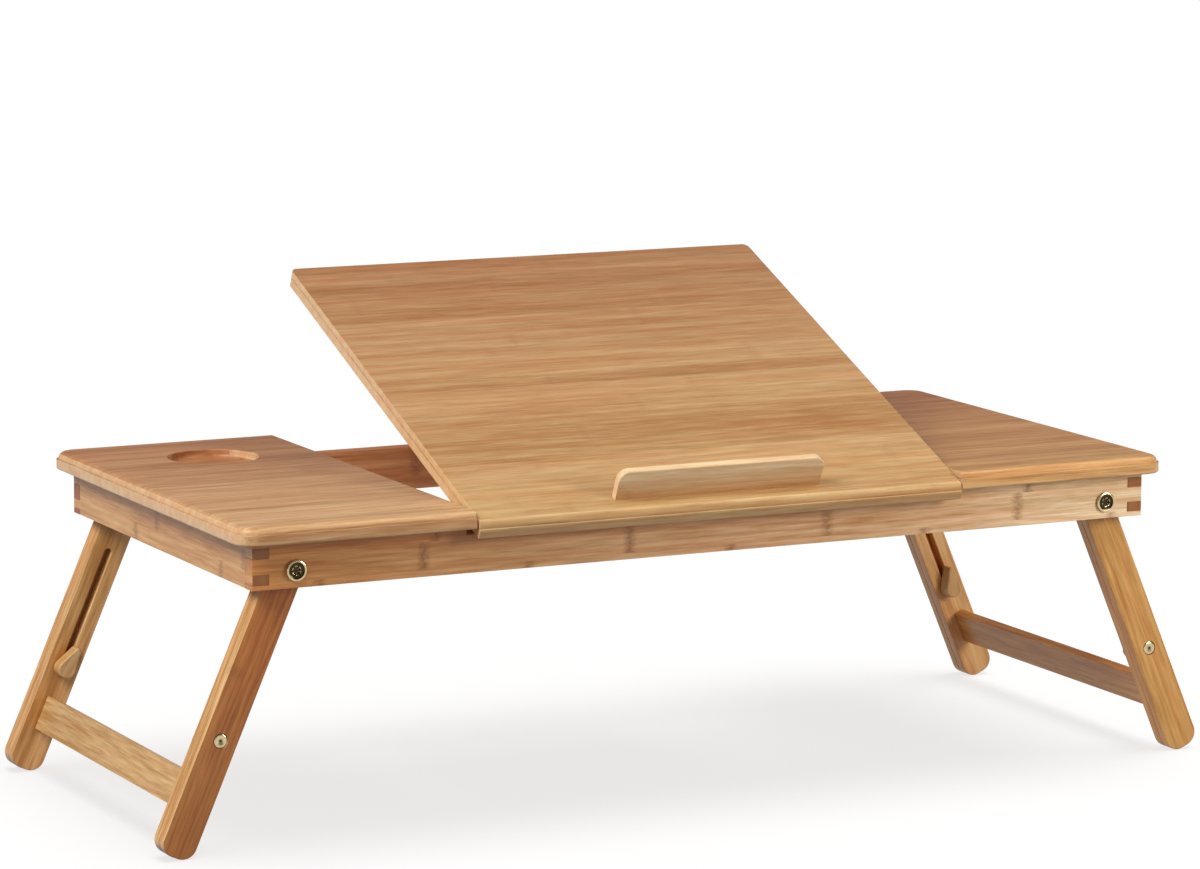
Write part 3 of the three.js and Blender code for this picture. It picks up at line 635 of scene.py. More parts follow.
    def colour(self, wood: Wood, tone: Socket, share: Socket, chance: Socket) -> Socket:
        """Wood colour with pinker bands, glue lines, knuckles, and the board's own tone with its painted shade.

        Args:
            wood: The wood's coordinates.
            tone: Its lightness.
            share: How far across its strip a point is.
            chance: The strip's own chance number.

        Returns:
            The colour.
        """
        put, (start, full, most) = wood.put, self.pink
        pink = put("MapRange", wood.noise(self.pink_size), start, full, 0.0, most)
        edge = put("Math", put("Math", share, 0.5, operation="SUBTRACT"), operation="ABSOLUTE")
        line = put("MapRange", edge, self.glue_from, 0.5, 0.0, self.glue)
        mark = self.knuckle_mark(wood, chance)
        light, cast, knuckle = linear(self.light), linear(self.cast), linear(self.knuckle)
        colour = linear(self.dark)
        # the last layer multiplies in the board's tone with its painted shade
        for strength, layer, way in (
                (tone, light, "MIX"), (pink, cast, "MULTIPLY"), (line, knuckle, "MIX"),
                (mark, knuckle, "MIX"), (1.0, wood.tone_and_painted_shade, "MULTIPLY")):
            colour = put("Mix", inputs={FACTOR: strength, FIRST: colour, SECOND: layer}, output=MIXED,
                         data_type="RGBA", blend_type=way)
        return colour

    def knuckle_mark(self, wood: Wood, chance: Socket) -> Socket:
        """How strongly a point lies on a knuckle: a mottled patch across its strip with a thin wavy line.

        Args:
            wood: The wood's coordinates.
            chance: The strip's own chance number.

        Returns:
            The strength.
        """
        put, spacing = wood.put, self.knuckle_spacing
        wavy = put("Math", wood.noise(self.wave_size), self.wave_reach * MM, wood.along,
                   operation="MULTIPLY_ADD")
        turns = put("Math", wavy, spacing * MM, operation="DIVIDE")
        moved = put("Math", chance, self.knuckle_scatter, turns, operation="MULTIPLY_ADD")
        share = put("Math", moved, operation="FRACT")
        off = put("Math", put("Math", share, 0.5, operation="SUBTRACT"), operation="ABSOLUTE")
        total = 0.0
        for reach, core, weight in self.knuckle_parts:
            patch = put("MapRange", off, reach / spacing, core / spacing, 0.0, weight * self.knuckles,
                        interpolation_type="SMOOTHSTEP")
            total = put("Math", patch, total, operation="ADD")
        start, full, least = self.mottle
        mottle = put("MapRange", wood.noise(self.mottle_size), start, full, least, 1.0)
        return put("Math", total, mottle, operation="MULTIPLY", use_clamp=True)


@dataclass(frozen=True)
class BrassedSteel:
    """Turned steel with a thin brass plating: bright, slightly warm, with fine tool marks and a soft wear.

    A colour attribute of the mesh darkens the sunken faces and sockets of the bolts: painted shade and dark
    reflection in these hollows.
    """

    name: str = "brassed_steel"
    bright: str = "e2d1aa"
    worn: str = "ab9568"
    cloud: Pair = (3.0, 2.0)                # size of the worn patches in mm, and their detail
    marks: Pair = (0.4, 1.0)                # the same of the tool marks
    roughness: Pair = (0.28, 0.1)           # where it is worn, and where it is bright
    bump: float = 0.2
    bump_depth: float = 0.02                # mm

    def build(self) -> bpy.types.Material:
        """Makes the finish.

        Returns:
            The material.
        """
        material, tree = new_material(self.name)
        put = partial(add_node, tree)
        place = put("TexCoord", output="Object")
        cloud, marks = (put("TexNoise", inputs={"Vector": place, "Scale": 1 / (size * MM), "Detail": detail})
                        for size, detail in (self.cloud, self.marks))
        plated = put("Mix", inputs={FACTOR: cloud, FIRST: linear(self.worn), SECOND: linear(self.bright)},
                     output=MIXED, data_type="RGBA")
        # painted shade and dark reflection of the hollows, white elsewhere
        tone_and_painted_shade = put("Attribute", output="Color", attribute_name="tone_and_painted_shade")
        colour = put("Mix", inputs={FACTOR: 1.0, FIRST: plated, SECOND: tone_and_painted_shade}, output=MIXED,
                     data_type="RGBA", blend_type="MULTIPLY")
        relief = put("Bump", inputs={
            "Strength": self.bump, "Distance": self.bump_depth * MM, "Height": marks})
        rough = put("MapRange", cloud, 0.0, 1.0, *self.roughness)
        put("OutputMaterial", put("BsdfPrincipled", inputs={
            "Base Color": colour, "Metallic": 1.0, "Roughness": rough, "Normal": relief}))
        return material


class Slot(Enum):
    """The record's material slots."""

    DECK = "deck_bamboo"
    PANEL = "panel_bamboo"
    RAIL = "rail_bamboo"
    LEG = "leg_bamboo"
    PALE = "pale_bamboo"
    INSIDE = "inside_bamboo"
    METAL = "brassed_steel"


FINISHES: dict[Slot, Bamboo | BrassedSteel] = {
    Slot.DECK: Bamboo("laminated_bamboo_deck", "bb8a59", "edc99c", glue=0.05, knuckles=0.1, bands=1.4,
                      streaks=1.6),
    Slot.PANEL: Bamboo("laminated_bamboo_panel", "c29460", "efcd9e", glue=0.05, knuckles=0.12, streaks=1.4),
    Slot.RAIL: Bamboo("laminated_bamboo_rail", "cfa36c", "ffe6bf", ply=16.0, streaks=1.9, glue=0.08,
                      knuckles=0.65, knuckle_spacing=155.0),
    Slot.LEG: Bamboo("laminated_bamboo_leg", "bd8849", "f2c78d", strip=25.0, ply=30.0, streaks=2.2,
                     glue=0.06, knuckles=0.35, knuckle_spacing=420.0),
    Slot.PALE: Bamboo("laminated_bamboo_pale", "d6a971", "ffe6be", strip=22.0, ply=12.0, knuckles=0.2),
    Slot.INSIDE: Bamboo("laminated_bamboo_inside", "ad7f50", "d2a878"),
    Slot.METAL: BrassedSteel(),
}


# Pieces


class Grain(Enum):
    """Which of a piece's own axes its fibres follow: the axes along, across and through the board."""

    ALONG_U = (0, 1, 2)
    ALONG_V = (1, 0, 2)
    ALONG_W = (2, 0, 1)


@dataclass(frozen=True)
class Looks:
    """How one piece differs from others of its finish: its tone, with painted shade laid into its colour."""

    low: str = PLAIN                        # its tone at the low end of the axis, with painted shade where that end gets less light
    high: str = PLAIN
    side: str = ""                          # painted shade: the colour of the faces that look along the piece's u axis
    axis: int = 0                           # the piece's u, v or w axis
    cut_ends: float = 1.0                   # how dark its cut ends are
    end_tint: str = "b79c8c"                # what the darkest cut ends are multiplied by
    shaded_rings: tuple[Pair, ...] = ()             # radii of rings round the w axis painted dark, as shade in the recesses
    # the colour of that painted shade
    ring_shade_colour: str = "4c443a"


class Workshop:
    """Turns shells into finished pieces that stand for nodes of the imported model."""

    def __init__(self, packed: dict) -> None:
        """Finds out which body each node is on, and makes the finishes.
        """
        bodies = packed["record"]["behaviour"]["bodies"]
        self.body = {node: body for body, nodes in bodies.items() for node in nodes}
        self.materials = {slot: finish.build() for slot, finish in FINISHES.items()}
        self.made = 0
        self.metal: list[Thing] = []

    def add(self, node: str, word: str, shell: Shell, placing: Placing, slot: Slot,
            grain: Grain = Grain.ALONG_U, looks: Looks = Looks()) -> None:
        """Makes one piece, whose object stays at the origin.

        Args:
            node: The node it stands for.
            word: What it is called after the node's name.
            shell: Its surface.
            placing: Where its axes lie.
            slot: The record's slot that it takes its finish from.
            grain: How the fibres run.
            looks: Its tone and painted shade, and how dark its cut ends are.
        """
        faces = [face[::-1] for face in shell.faces] if placing.mirrors() else shell.faces
        mesh = bpy.data.meshes.new(f"{node}_{word}")
        mesh.from_pydata((placing.place(shell.points) * MM).tolist(), [], faces)
        mesh.validate()
        self.mark(mesh, shell.points, placing, grain, looks)
        mesh.shade_smooth()
        mesh.set_sharp_from_angle(angle=math.radians(SHARP_DEGREES))
        mesh.materials.append(self.materials[slot])
        piece = bpy.data.objects.new(mesh.name, mesh)
        bpy.context.scene.collection.objects.link(piece)
        piece.modifiers.new("even_faces", "WEIGHTED_NORMAL").keep_sharp = True
        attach(piece, self.body[node])
        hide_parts(node)
        self.made += 1
        if slot is Slot.METAL:
            self.metal.append(piece)
        log.info("%s: %d points on %s", piece.name, len(shell.points), self.body[node])

    def mark(self, mesh: bpy.types.Mesh, own: Array, placing: Placing, grain: Grain, looks: Looks) -> None:
        """Writes the wood's coordinates, how far each face is end grain, and the colour of each face's corners.

        The coordinates are moved by a different amount for each piece. The colour, a tone with painted shade,
        goes evenly from one end of the piece to the other, darker where one end gets less light; painted shade
        takes its place on faces that look sideways, rings in the recesses are painted dark as shade, and cut
        ends are darker.

        Args:
            mesh: The piece's mesh.
            own: Its points in its own axes.
            placing: Where those axes lie.
            grain: How the fibres run.
            looks: Its tone, its painted shade and its cut ends.
        """
        wood = (own[:, list(grain.value)] + np.array(GRAIN_SHIFT) * self.made) * MM
        normals = np.empty(len(mesh.polygons) * 3, np.float32)
        mesh.polygons.foreach_get("normal", normals)
        facing = np.abs(normals.reshape(-1, 3) @ placing.axes().T)
        start, width = END_GRAIN
        ends = ((facing[:, grain.value[0]] - start) / width).clip(0, 1)
        corners, sizes = np.empty(len(mesh.loops), np.int32), np.empty(len(mesh.polygons), np.int32)
        mesh.loops.foreach_get("vertex_index", corners)
        mesh.polygons.foreach_get("loop_total", sizes)
        place = own[corners, looks.axis]
        share = ((place - place.min()) / np.ptp(place))[:, None]
        low, high, cut = (np.array(linear(colour)) for colour in (looks.low, looks.high, looks.end_tint))
        tone_and_painted_shade = low + share * (high - low)
        # faces that look sideways take their painted shade
        if looks.side:
            tone_and_painted_shade[np.repeat(facing[:, 0] > SIDEWAYS, sizes)] = linear(looks.side)
        tone_and_painted_shade *= 1 + (np.repeat(ends, sizes) * looks.cut_ends)[:, None] * (cut - 1)
        radius = np.linalg.norm(own[corners, :2], axis=1)
        # rings in the recesses are painted dark as shade
        for inner, outer in looks.shaded_rings:
            tone_and_painted_shade[(radius > inner) & (radius < outer)] = linear(looks.ring_shade_colour)
        for name, kind, domain, key, values in (
                ("grain", "FLOAT_VECTOR", "POINT", "vector", wood),
                ("end_grain", "FLOAT", "FACE", "value", ends),
                ("tone_and_painted_shade", "FLOAT_COLOR", "CORNER", "color", tone_and_painted_shade)):
            mesh.attributes.new(name, kind, domain).data.foreach_set(key, values.astype(np.float32).ravel())


@dataclass
class Decks:
    """The two fixed decks with their moulded edges, and the cup recess in the left one."""

    moulding: Moulding = Moulding()
    length: float = 720.0
    depth: float = 358.0
    underside: float = 211.93
    corner: float = 16.0
    corner_steps: int = 12
    bay: float = 378.0
    cup_radius: float = 32.5
    cup_depth: float = 6.0
    cup_round: float = 3.0                              # radius between its floor and its wall
    cup_rim: float = 0.7
    cup_from_end: float = 95.0
    cup_from_back: float = 77.0
    cup_steps: tuple[int, int] = (96, 6)                # sides, and divisions of the round
    tints_with_painted_shade: dict[str, tuple[str, str]] = field(default_factory=lambda: {
        "left": ("f5f0e6", "d8b6a0"), "right": ("eadcbc", "d3a98a")})       # front and back: darker towards the back, painted shade of light from the front

    def build(self, shop: Workshop) -> None:
        """Makes both decks, each drawn as the right one and mirrored for the left.

        Args:
            shop: What makes the pieces.
        """
        x, y, r = self.length / 2 - self.corner, self.depth / 2 - self.corner, self.corner
        front, back = arc((x, -y), r, -90, 0, self.corner_steps), arc((x, y), r, 0, 90, self.corner_steps)
        inner = self.bay / 2
        base = np.vstack([[inner, -self.depth / 2], front, back, [inner, self.depth / 2]])
        moulded = np.vstack([[0, 1], ((x, -y) - front) / r, ((x, y) - back) / r, [0, -1]])
        plain = np.zeros_like(base)
        plain[[0, -1]] = (1, 0)
        for name, end in ENDS:
            board = self.moulding.board(base, moulded, plain, self.underside,
                                        [self.cup()] if name == "left" else [])
            shop.add(f"{name}_deck", "moulded_board", board, Placing(u=(end, 0, 0)), Slot.DECK,
                     looks=Looks(*self.tints_with_painted_shade[name], PLAIN, axis=1, cut_ends=0.0))

    def cup(self) -> Hole:
        """The recess: a floor, a round up to the wall, and a rounded rim, both arcs by their sine and cosine.

        Returns:
            The hole.
        """
        top = self.underside + self.moulding.thickness
        floor, r, rim = top - self.cup_depth, self.cup_round, self.cup_rim
        sides, divisions = self.cup_steps
        dish = [(self.cup_radius - r + r * math.sin(a), floor + r * (1 - math.cos(a)))
                for a in quarter_turns(divisions)]
        lip = [(self.cup_radius + rim * (1 - math.cos(a)), top - rim * (1 - math.sin(a)))
               for a in quarter_turns(EASE_STEPS)]
        centre = (self.length / 2 - self.cup_from_end, self.depth / 2 - self.cup_from_back)
        return round_hole(centre, dish + lip, blind=True, steps=sides)


@dataclass
class FrameBoards:
    """The finger-jointed frame under the decks, its cross rails and the prop's rack bars."""

    end: float = 347.0                                  # outside of the end rails
    side: float = 166.0                                 # outside of the long rails
    thickness: float = 12.0
    bottom: float = 179.928
    height: float = 31.7
    gap: float = 0.3
    finger_height: float = 7.0
    finger_shares: Pair = (0.22, 0.78)
    finger_fit: float = 0.05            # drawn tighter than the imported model's joint, as glued fingers look
    pivot: Pair = (315.86, 191.928)
    pivot_bore: float = 3.3
    ease: float = 0.5
    bevel_drop: float = 5.0
    bevel_reach: Pair = (190.5, 191.0)                  # where the lowered top ends and meets the rest
    window: Pair = (108.0, 5.0)                         # half its width, and the border above and below
    window_ease: float = 0.4
    cross: Pair = (191.0, 203.0)
    cross_low: float = 118.0
    lane: float = 204.928
    rack: Pair = (29.3, 41.0)
    rack_bottom: float = 184.978
    rack_top: float = 196.678
    rack_neck: float = 136.0
    rack_neck_width: float = 12.0
    rack_fillet: float = 5.0
    fillet_steps: int = 8
    notches: tuple[float, ...] = (116.29, 109.69, 103.09, 96.49)
    notch_radius: float = 2.2
    notch_depth: float = 3.0
    notch_steps: int = 10
    # The front rail is darker towards its left end and the back rail darker all over: painted shade. The end
    # rails are evenly tinted.
    looks: dict[str, Looks] = field(default_factory=lambda: {
        "front": Looks("deac72", cut_ends=0.2), "back": Looks("e0a982", "e0a982"),
        "end": Looks("e6cba5", "e6cba5")})

    def build(self, shop: Workshop) -> None:
        """Makes the rails and the bars.

        Args:
            shop: What makes the pieces.
        """
        inner, top = self.side - self.thickness, self.bottom + self.height
        for name, side in SIDES:
            low = self.long_outline(0.0)
            high = self.long_outline(self.bevel_drop if name == "front" else 0.0)
            span = (inner, self.side)
            bores = [round_hole((end * self.pivot[0], self.pivot[1]), bore(self.pivot_bore, span))
                     for _, end in ENDS]
            shop.add(f"{name}_rail", "finger_jointed", eased_prism(low, span, self.ease, bores, high),
                     Placing(u=(1, 0, 0), v=(0, 0, 1), w=(0, side, 0)), Slot.RAIL, looks=self.looks[name])
        half, border = self.window
        span, reach = (self.end - self.thickness, self.end), inner - self.gap
        window = corner_hole((-half, half), (self.bottom + border, top - border),
                             bore(0.0, span, self.window_ease))
        cross = mirrored([(self.cross_low, self.bottom), (self.cross_low, self.lane), (reach, self.lane),
                          (reach, top)])
        for name, end in ENDS:
            placing = Placing(u=(0, 1, 0), v=(0, 0, 1), w=(end, 0, 0))
            rail = eased_prism(self.end_outline(), span, self.ease, [window] if name == "right" else [])
            shop.add(f"{name}_end_rail", "finger_jointed", rail, placing, Slot.RAIL, looks=self.looks["end"])
            shop.add(f"{name}_cross_rail", "planed", eased_prism(cross, self.cross, self.ease), placing,
                     Slot.INSIDE)
            shop.add(f"{name}_rack_bar", "notched", eased_prism(self.rack_outline(), self.rack, self.ease),
                     placing, Slot.INSIDE)

    def finger_edges(self, room: float) -> list[float]:
        """The fingers of a corner: each is finger_height + room high about its share of the rail's height.

        Args:
            room: What is added to a finger's height.

        Returns:
            Lower and upper edge of each finger, from the lowest up.
        """
        half = (self.finger_height + room) / 2
        return [self.bottom + share * self.height + way * half
                for share in self.finger_shares for way in (-1, 1)]

    def long_outline(self, drop: float) -> Array:
        """A long rail seen from outside: a comb of notches at both ends, its top lowered over the bay.

        Args:
            drop: How far its top is lowered.

        Returns:
            The outline.
        """
        top, inner, end = self.bottom + self.height, self.end - self.thickness, self.end
        a, b, c, d = self.finger_edges(self.finger_fit)
        near, far = self.bevel_reach
        return mirrored([(end, self.bottom), (end, a), (inner, a), (inner, b), (end, b), (end, c), (inner, c),
                         (inner, d), (end, d), (end, top), (far, top), (near, top - drop)])

    def end_outline(self) -> Array:
        """An end rail seen from outside, with its fingers.

        Returns:
            The outline.
        """
        top, side = self.bottom + self.height, self.side
        reach = side - self.thickness - self.finger_fit / 2
        a, b, c, d = self.finger_edges(-self.finger_fit)
        return mirrored([(reach, self.bottom), (reach, a), (side, a), (side, b), (reach, b), (reach, c),
                         (side, c), (side, d), (reach, d), (reach, top)])

    def rack_outline(self) -> Array:
        """A rack bar from the side: a low beam with notches, raised at its ends over the folded legs.

        Returns:
            The outline.
        """
        top, reach = self.bottom + self.height, self.side - self.thickness - self.gap
        neck, fillet, r = self.rack_neck, self.rack_fillet, self.notch_radius
        shoulder, bend = neck - self.rack_neck_width, self.rack_top + fillet
        floor = self.rack_top - self.notch_depth + r
        notches = [np.vstack([(place + r, self.rack_top), arc((place, floor), r, 0, -180, self.notch_steps),
                              (place - r, self.rack_top)]) for place in self.notches]
        return outline(
            (-neck, self.rack_bottom), (neck, self.rack_bottom), (neck, self.lane), (reach, self.lane),
            (reach, top), (shoulder, top), arc((shoulder - fillet, bend), fillet, 0, -90, self.fillet_steps),
            *notches, arc((fillet - shoulder, bend), fillet, -90, -180, self.fillet_steps), (-shoulder, top),
            (-reach, top), (-reach, self.lane), (-neck, self.lane))


@dataclass
class Legs:
    """Four folding legs of two slats each, their bolts and knobs, and the two stretchers."""

    pivot: Pair = (315.86, 191.928)
    splay: float = 23.4
    length: float = 207.15
    width: float = 25.0
    foot_corner: float = 10.0
    slat_steps: tuple[int, int] = (32, 12)              # divisions of its round top and of its foot's corners
    clamp: float = 124.0                                # pivot to clamp bolt
    extension: float = 82.0
    slot_runout: float = 0.8
    slot_half: float = 2.7
    slot_ease: float = 0.5
    hole_ease: float = 0.3
    hole_steps: int = 48
    outer: Pair = (145.5, 153.7)
    inner: Pair = (137.0, 145.2)
    ease: float = 0.7
    stretcher_middle: float = 164.5
    stretcher_width: float = 25.0
    stretcher_thickness: float = 7.0
    stretcher_gap: float = 0.3
    stretcher_ease: float = 0.6
    head_seat: float = 151.0                            # bottom of the clamp head's counterbore
    head_room: float = 5.05
    pivot_room: Pair = (3.3, 5.8)                       # radius and depth of the bore for the pivot bolt
    knob_span: Pair = (125.7, 136.7)
    knob_wide: Pair = (6.6, 5.6)                        # radius of its wide end, and how far that stands off
    knob_tip: Pair = (2.2, 9.8)                         # the same for its narrow end
    knob_turns: Pair = (11.0, 14.0)                     # left and right, from the leg's line towards +X
    knob_hole: float = 7.3
    knob_ease: float = 1.4
    knob_steps: tuple[int, int, int] = (20, 28, 6)      # divisions of its tip, its wide end and its arris
    clamp_profile: tuple[Pair, ...] = (                 # radius and place: stem, round head, small dimple
        (1.9, 129.7), (2.4, 130.2), (2.4, 151.3), (4.55, 151.3), (4.75, 151.5), (4.75, 152.8), (4.55, 153.25),
        (4.1, 153.47), (3.7, 153.5), (2.4, 153.5), (2.0, 153.35), (0.6, 153.3))
    pivot_profile: tuple[Pair, ...] = (                 # stem, rounded rim, sunk face, hexagon socket
        (2.5, 148.2), (3.0, 148.7), (3.0, 166.3), (7.0, 166.3), (7.25, 166.55), (7.25, 167.45),
        (7.05, 167.92), (6.6, 168.15), (6.1, 168.2), (5.6, 168.15), (5.2, 167.9), (4.9, 167.75),
        (3.5, 167.75), (3.25, 167.7), (3.0, 167.55), (3.0, 166.9), (0.6, 166.85))
    socket: tuple[float, ...] = (0.0,) * 13 + (1.0,) * 3 + (0.0,)      # the hexagon's share in each step
    pivot_steps: int = 72
    pivot_shade_rings: tuple[Pair, ...] = ((0.0, 2.9), (3.4, 5.7))           # the socket and the sunken face, painted dark as shade and dark reflection
    # the dimple, painted dark as shade
    clamp_shade_rings: tuple[Pair, ...] = ((0.0, 1.9),)
    knob_looks: Looks = Looks("dfd0b0", "dfd0b0", cut_ends=0.3)
    # Colours at the foot, at the pivot, and of the sideways faces. Most slats are darker towards their feet,
    # the right legs' sideways faces are darker and warmer, and the right stretcher is warmer: painted shade.
    tints_with_painted_shade: dict[str, tuple[str, str, str]] = field(default_factory=lambda: {
        "left_front": ("cda87f", "daa673", PLAIN), "left_back": ("f3e3d0", "fff8dc", PLAIN),
        "right_front": ("dccaa5", "e4d5b1", "f5d9a8"), "right_back": ("f6ead9", PLAIN, "f5d9a8"),
        "left": ("f2f8ff", "f2f8ff", ""), "right": ("ffe2b8", "ffe2b8", "")})

    def build(self, shop: Workshop) -> None:
        """Makes both pairs of legs.

        Args:
            shop: What makes the pieces.
        """
        slats = (("outer_slat", "planed", self.outer_slat()), ("inner_slat", "slotted", self.inner_slat()))
        for (name, end), knob_turn in zip(ENDS, self.knob_turns):
            sway, rise = end * math.sin(math.radians(self.splay)), math.cos(math.radians(self.splay))
            up, across = (-sway, 0.0, rise), (end * rise, 0.0, end * sway)
            origin = (end * self.pivot[0], 0.0, self.pivot[1])
            clamp = (origin[0] - self.clamp * up[0], 0.0, origin[2] - self.clamp * up[2])
            shop.add(f"{name}_stretcher", "planed", self.stretcher(), Placing(origin, across, up, (0, 1, 0)),
                     Slot.LEG, Grain.ALONG_W, Looks(*self.tints_with_painted_shade[name]))
            for side_name, side in SIDES:
                corner, depth = f"{name}_{side_name}", (0, side, 0)
                for part, word, slat in slats:
                    shop.add(f"{corner}_{part}", word, slat, Placing(origin, across, up, depth), Slot.LEG,
                             Grain.ALONG_V, Looks(*self.tints_with_painted_shade[corner], axis=1))
                shop.add(f"{corner}_knob", "rounded", self.knob(),
                         Placing(clamp, self.turn(across, knob_turn), self.turn(up, knob_turn), depth),
                         Slot.PALE, Grain.ALONG_V, self.knob_looks)
                for part, bolt, place, shaded_rings in (
                        ("clamp", turned(self.clamp_profile), clamp, self.clamp_shade_rings),
                        ("pivot", turned(self.pivot_profile, self.pivot_steps, self.socket), origin,
                         self.pivot_shade_rings)):
                    shop.add(f"{corner}_{part}_bolt", "turned", bolt, Placing(place, across, up, depth),
                             Slot.METAL, looks=Looks(cut_ends=0.0, shaded_rings=shaded_rings))

    def slat_outline(self) -> Array:
        """A slat hanging from its pivot: round at the top, eased corners at the foot.

        Returns:
            The outline.
        """
        half, r, foot = self.width / 2, self.foot_corner, -self.length
        top, corner = self.slat_steps
        return outline(arc((0, 0), half, 0, 180, top), arc((r - half, foot + r), r, 180, 270, corner),
                       arc((half - r, foot + r), r, 270, 360, corner))

    def outer_slat(self) -> Shell:
        """Fixed slat, bored for the pivot bolt and counterbored for the clamp bolt's head.

        Returns:
            The closed shell.
        """
        (low, high), (radius, depth), ease = self.outer, self.pivot_room, self.hole_ease
        slot, room, floor = self.slot_half, self.head_room, self.head_seat
        seat = [(slot + ease, low), (slot, low + ease), (slot, floor), (room, floor), (room, high - ease),
                (room + ease, high)]
        return eased_prism(self.slat_outline(), self.outer, self.ease, [
            round_hole((0, 0), [(radius, high - depth), (radius, high)], blind=True),
            round_hole((0, -self.clamp), seat, steps=self.hole_steps)])

    def inner_slat(self) -> Shell:
        """Sliding slat with the slot that runs over the clamp bolt.

        Returns:
            The closed shell.
        """
        profile = bore(self.slot_half, self.inner, self.slot_ease)
        slot = round_hole((0, -self.clamp - self.slot_runout), profile, steps=self.hole_steps,
                          reach=self.extension + 2 * self.slot_runout)
        return eased_prism(self.slat_outline(), self.inner, self.ease, [slot])

    def stretcher(self) -> Shell:
        """Board between the front and the back inner slat.

        Returns:
            The closed shell.
        """
        half, wide = self.stretcher_thickness / 2, self.stretcher_width / 2
        reach, middle = self.inner[0] - self.stretcher_gap, -self.stretcher_middle
        return eased_prism(rectangle((-half, half), (middle - wide, middle + wide)), (-reach, reach),
                           self.stretcher_ease)

    def turn(self, axis: Triple, degrees: float) -> Triple:
        """An axis turned about +Y: (x cos a + z sin a, y, z cos a - x sin a).

        Args:
            axis: Its three numbers.
            degrees: The angle a.

        Returns:
            The turned axis.
        """
        x, y, z = axis
        cosine, sine = math.cos(math.radians(degrees)), math.sin(math.radians(degrees))
        return x * cosine + z * sine, y, z * cosine - x * sine

    def knob(self) -> Shell:
        """Teardrop knob about its bolt, its narrow end towards the pivot.

        Tangents join its two arcs: the sine of their lean is the difference of the radii over the distance.

        Returns:
            The closed shell.
        """
        (wide, low), (tip, reach), high = self.knob_wide, self.knob_tip, self.knob_span[1]
        lean = math.degrees(math.asin((wide - tip) / (low + reach)))
        tip_steps, wide_steps, steps = self.knob_steps
        loop = outline(arc((0, reach), tip, lean, 180 - lean, tip_steps),
                       arc((0, -low), wide, 180 - lean, 360 + lean, wide_steps))
        hole = round_hole((0, 0), [(self.slot_half, place) for place in (high - self.knob_hole, high)],
                          blind=True)
        return eased_prism(loop, self.knob_span, self.knob_ease, [hole], steps=steps)


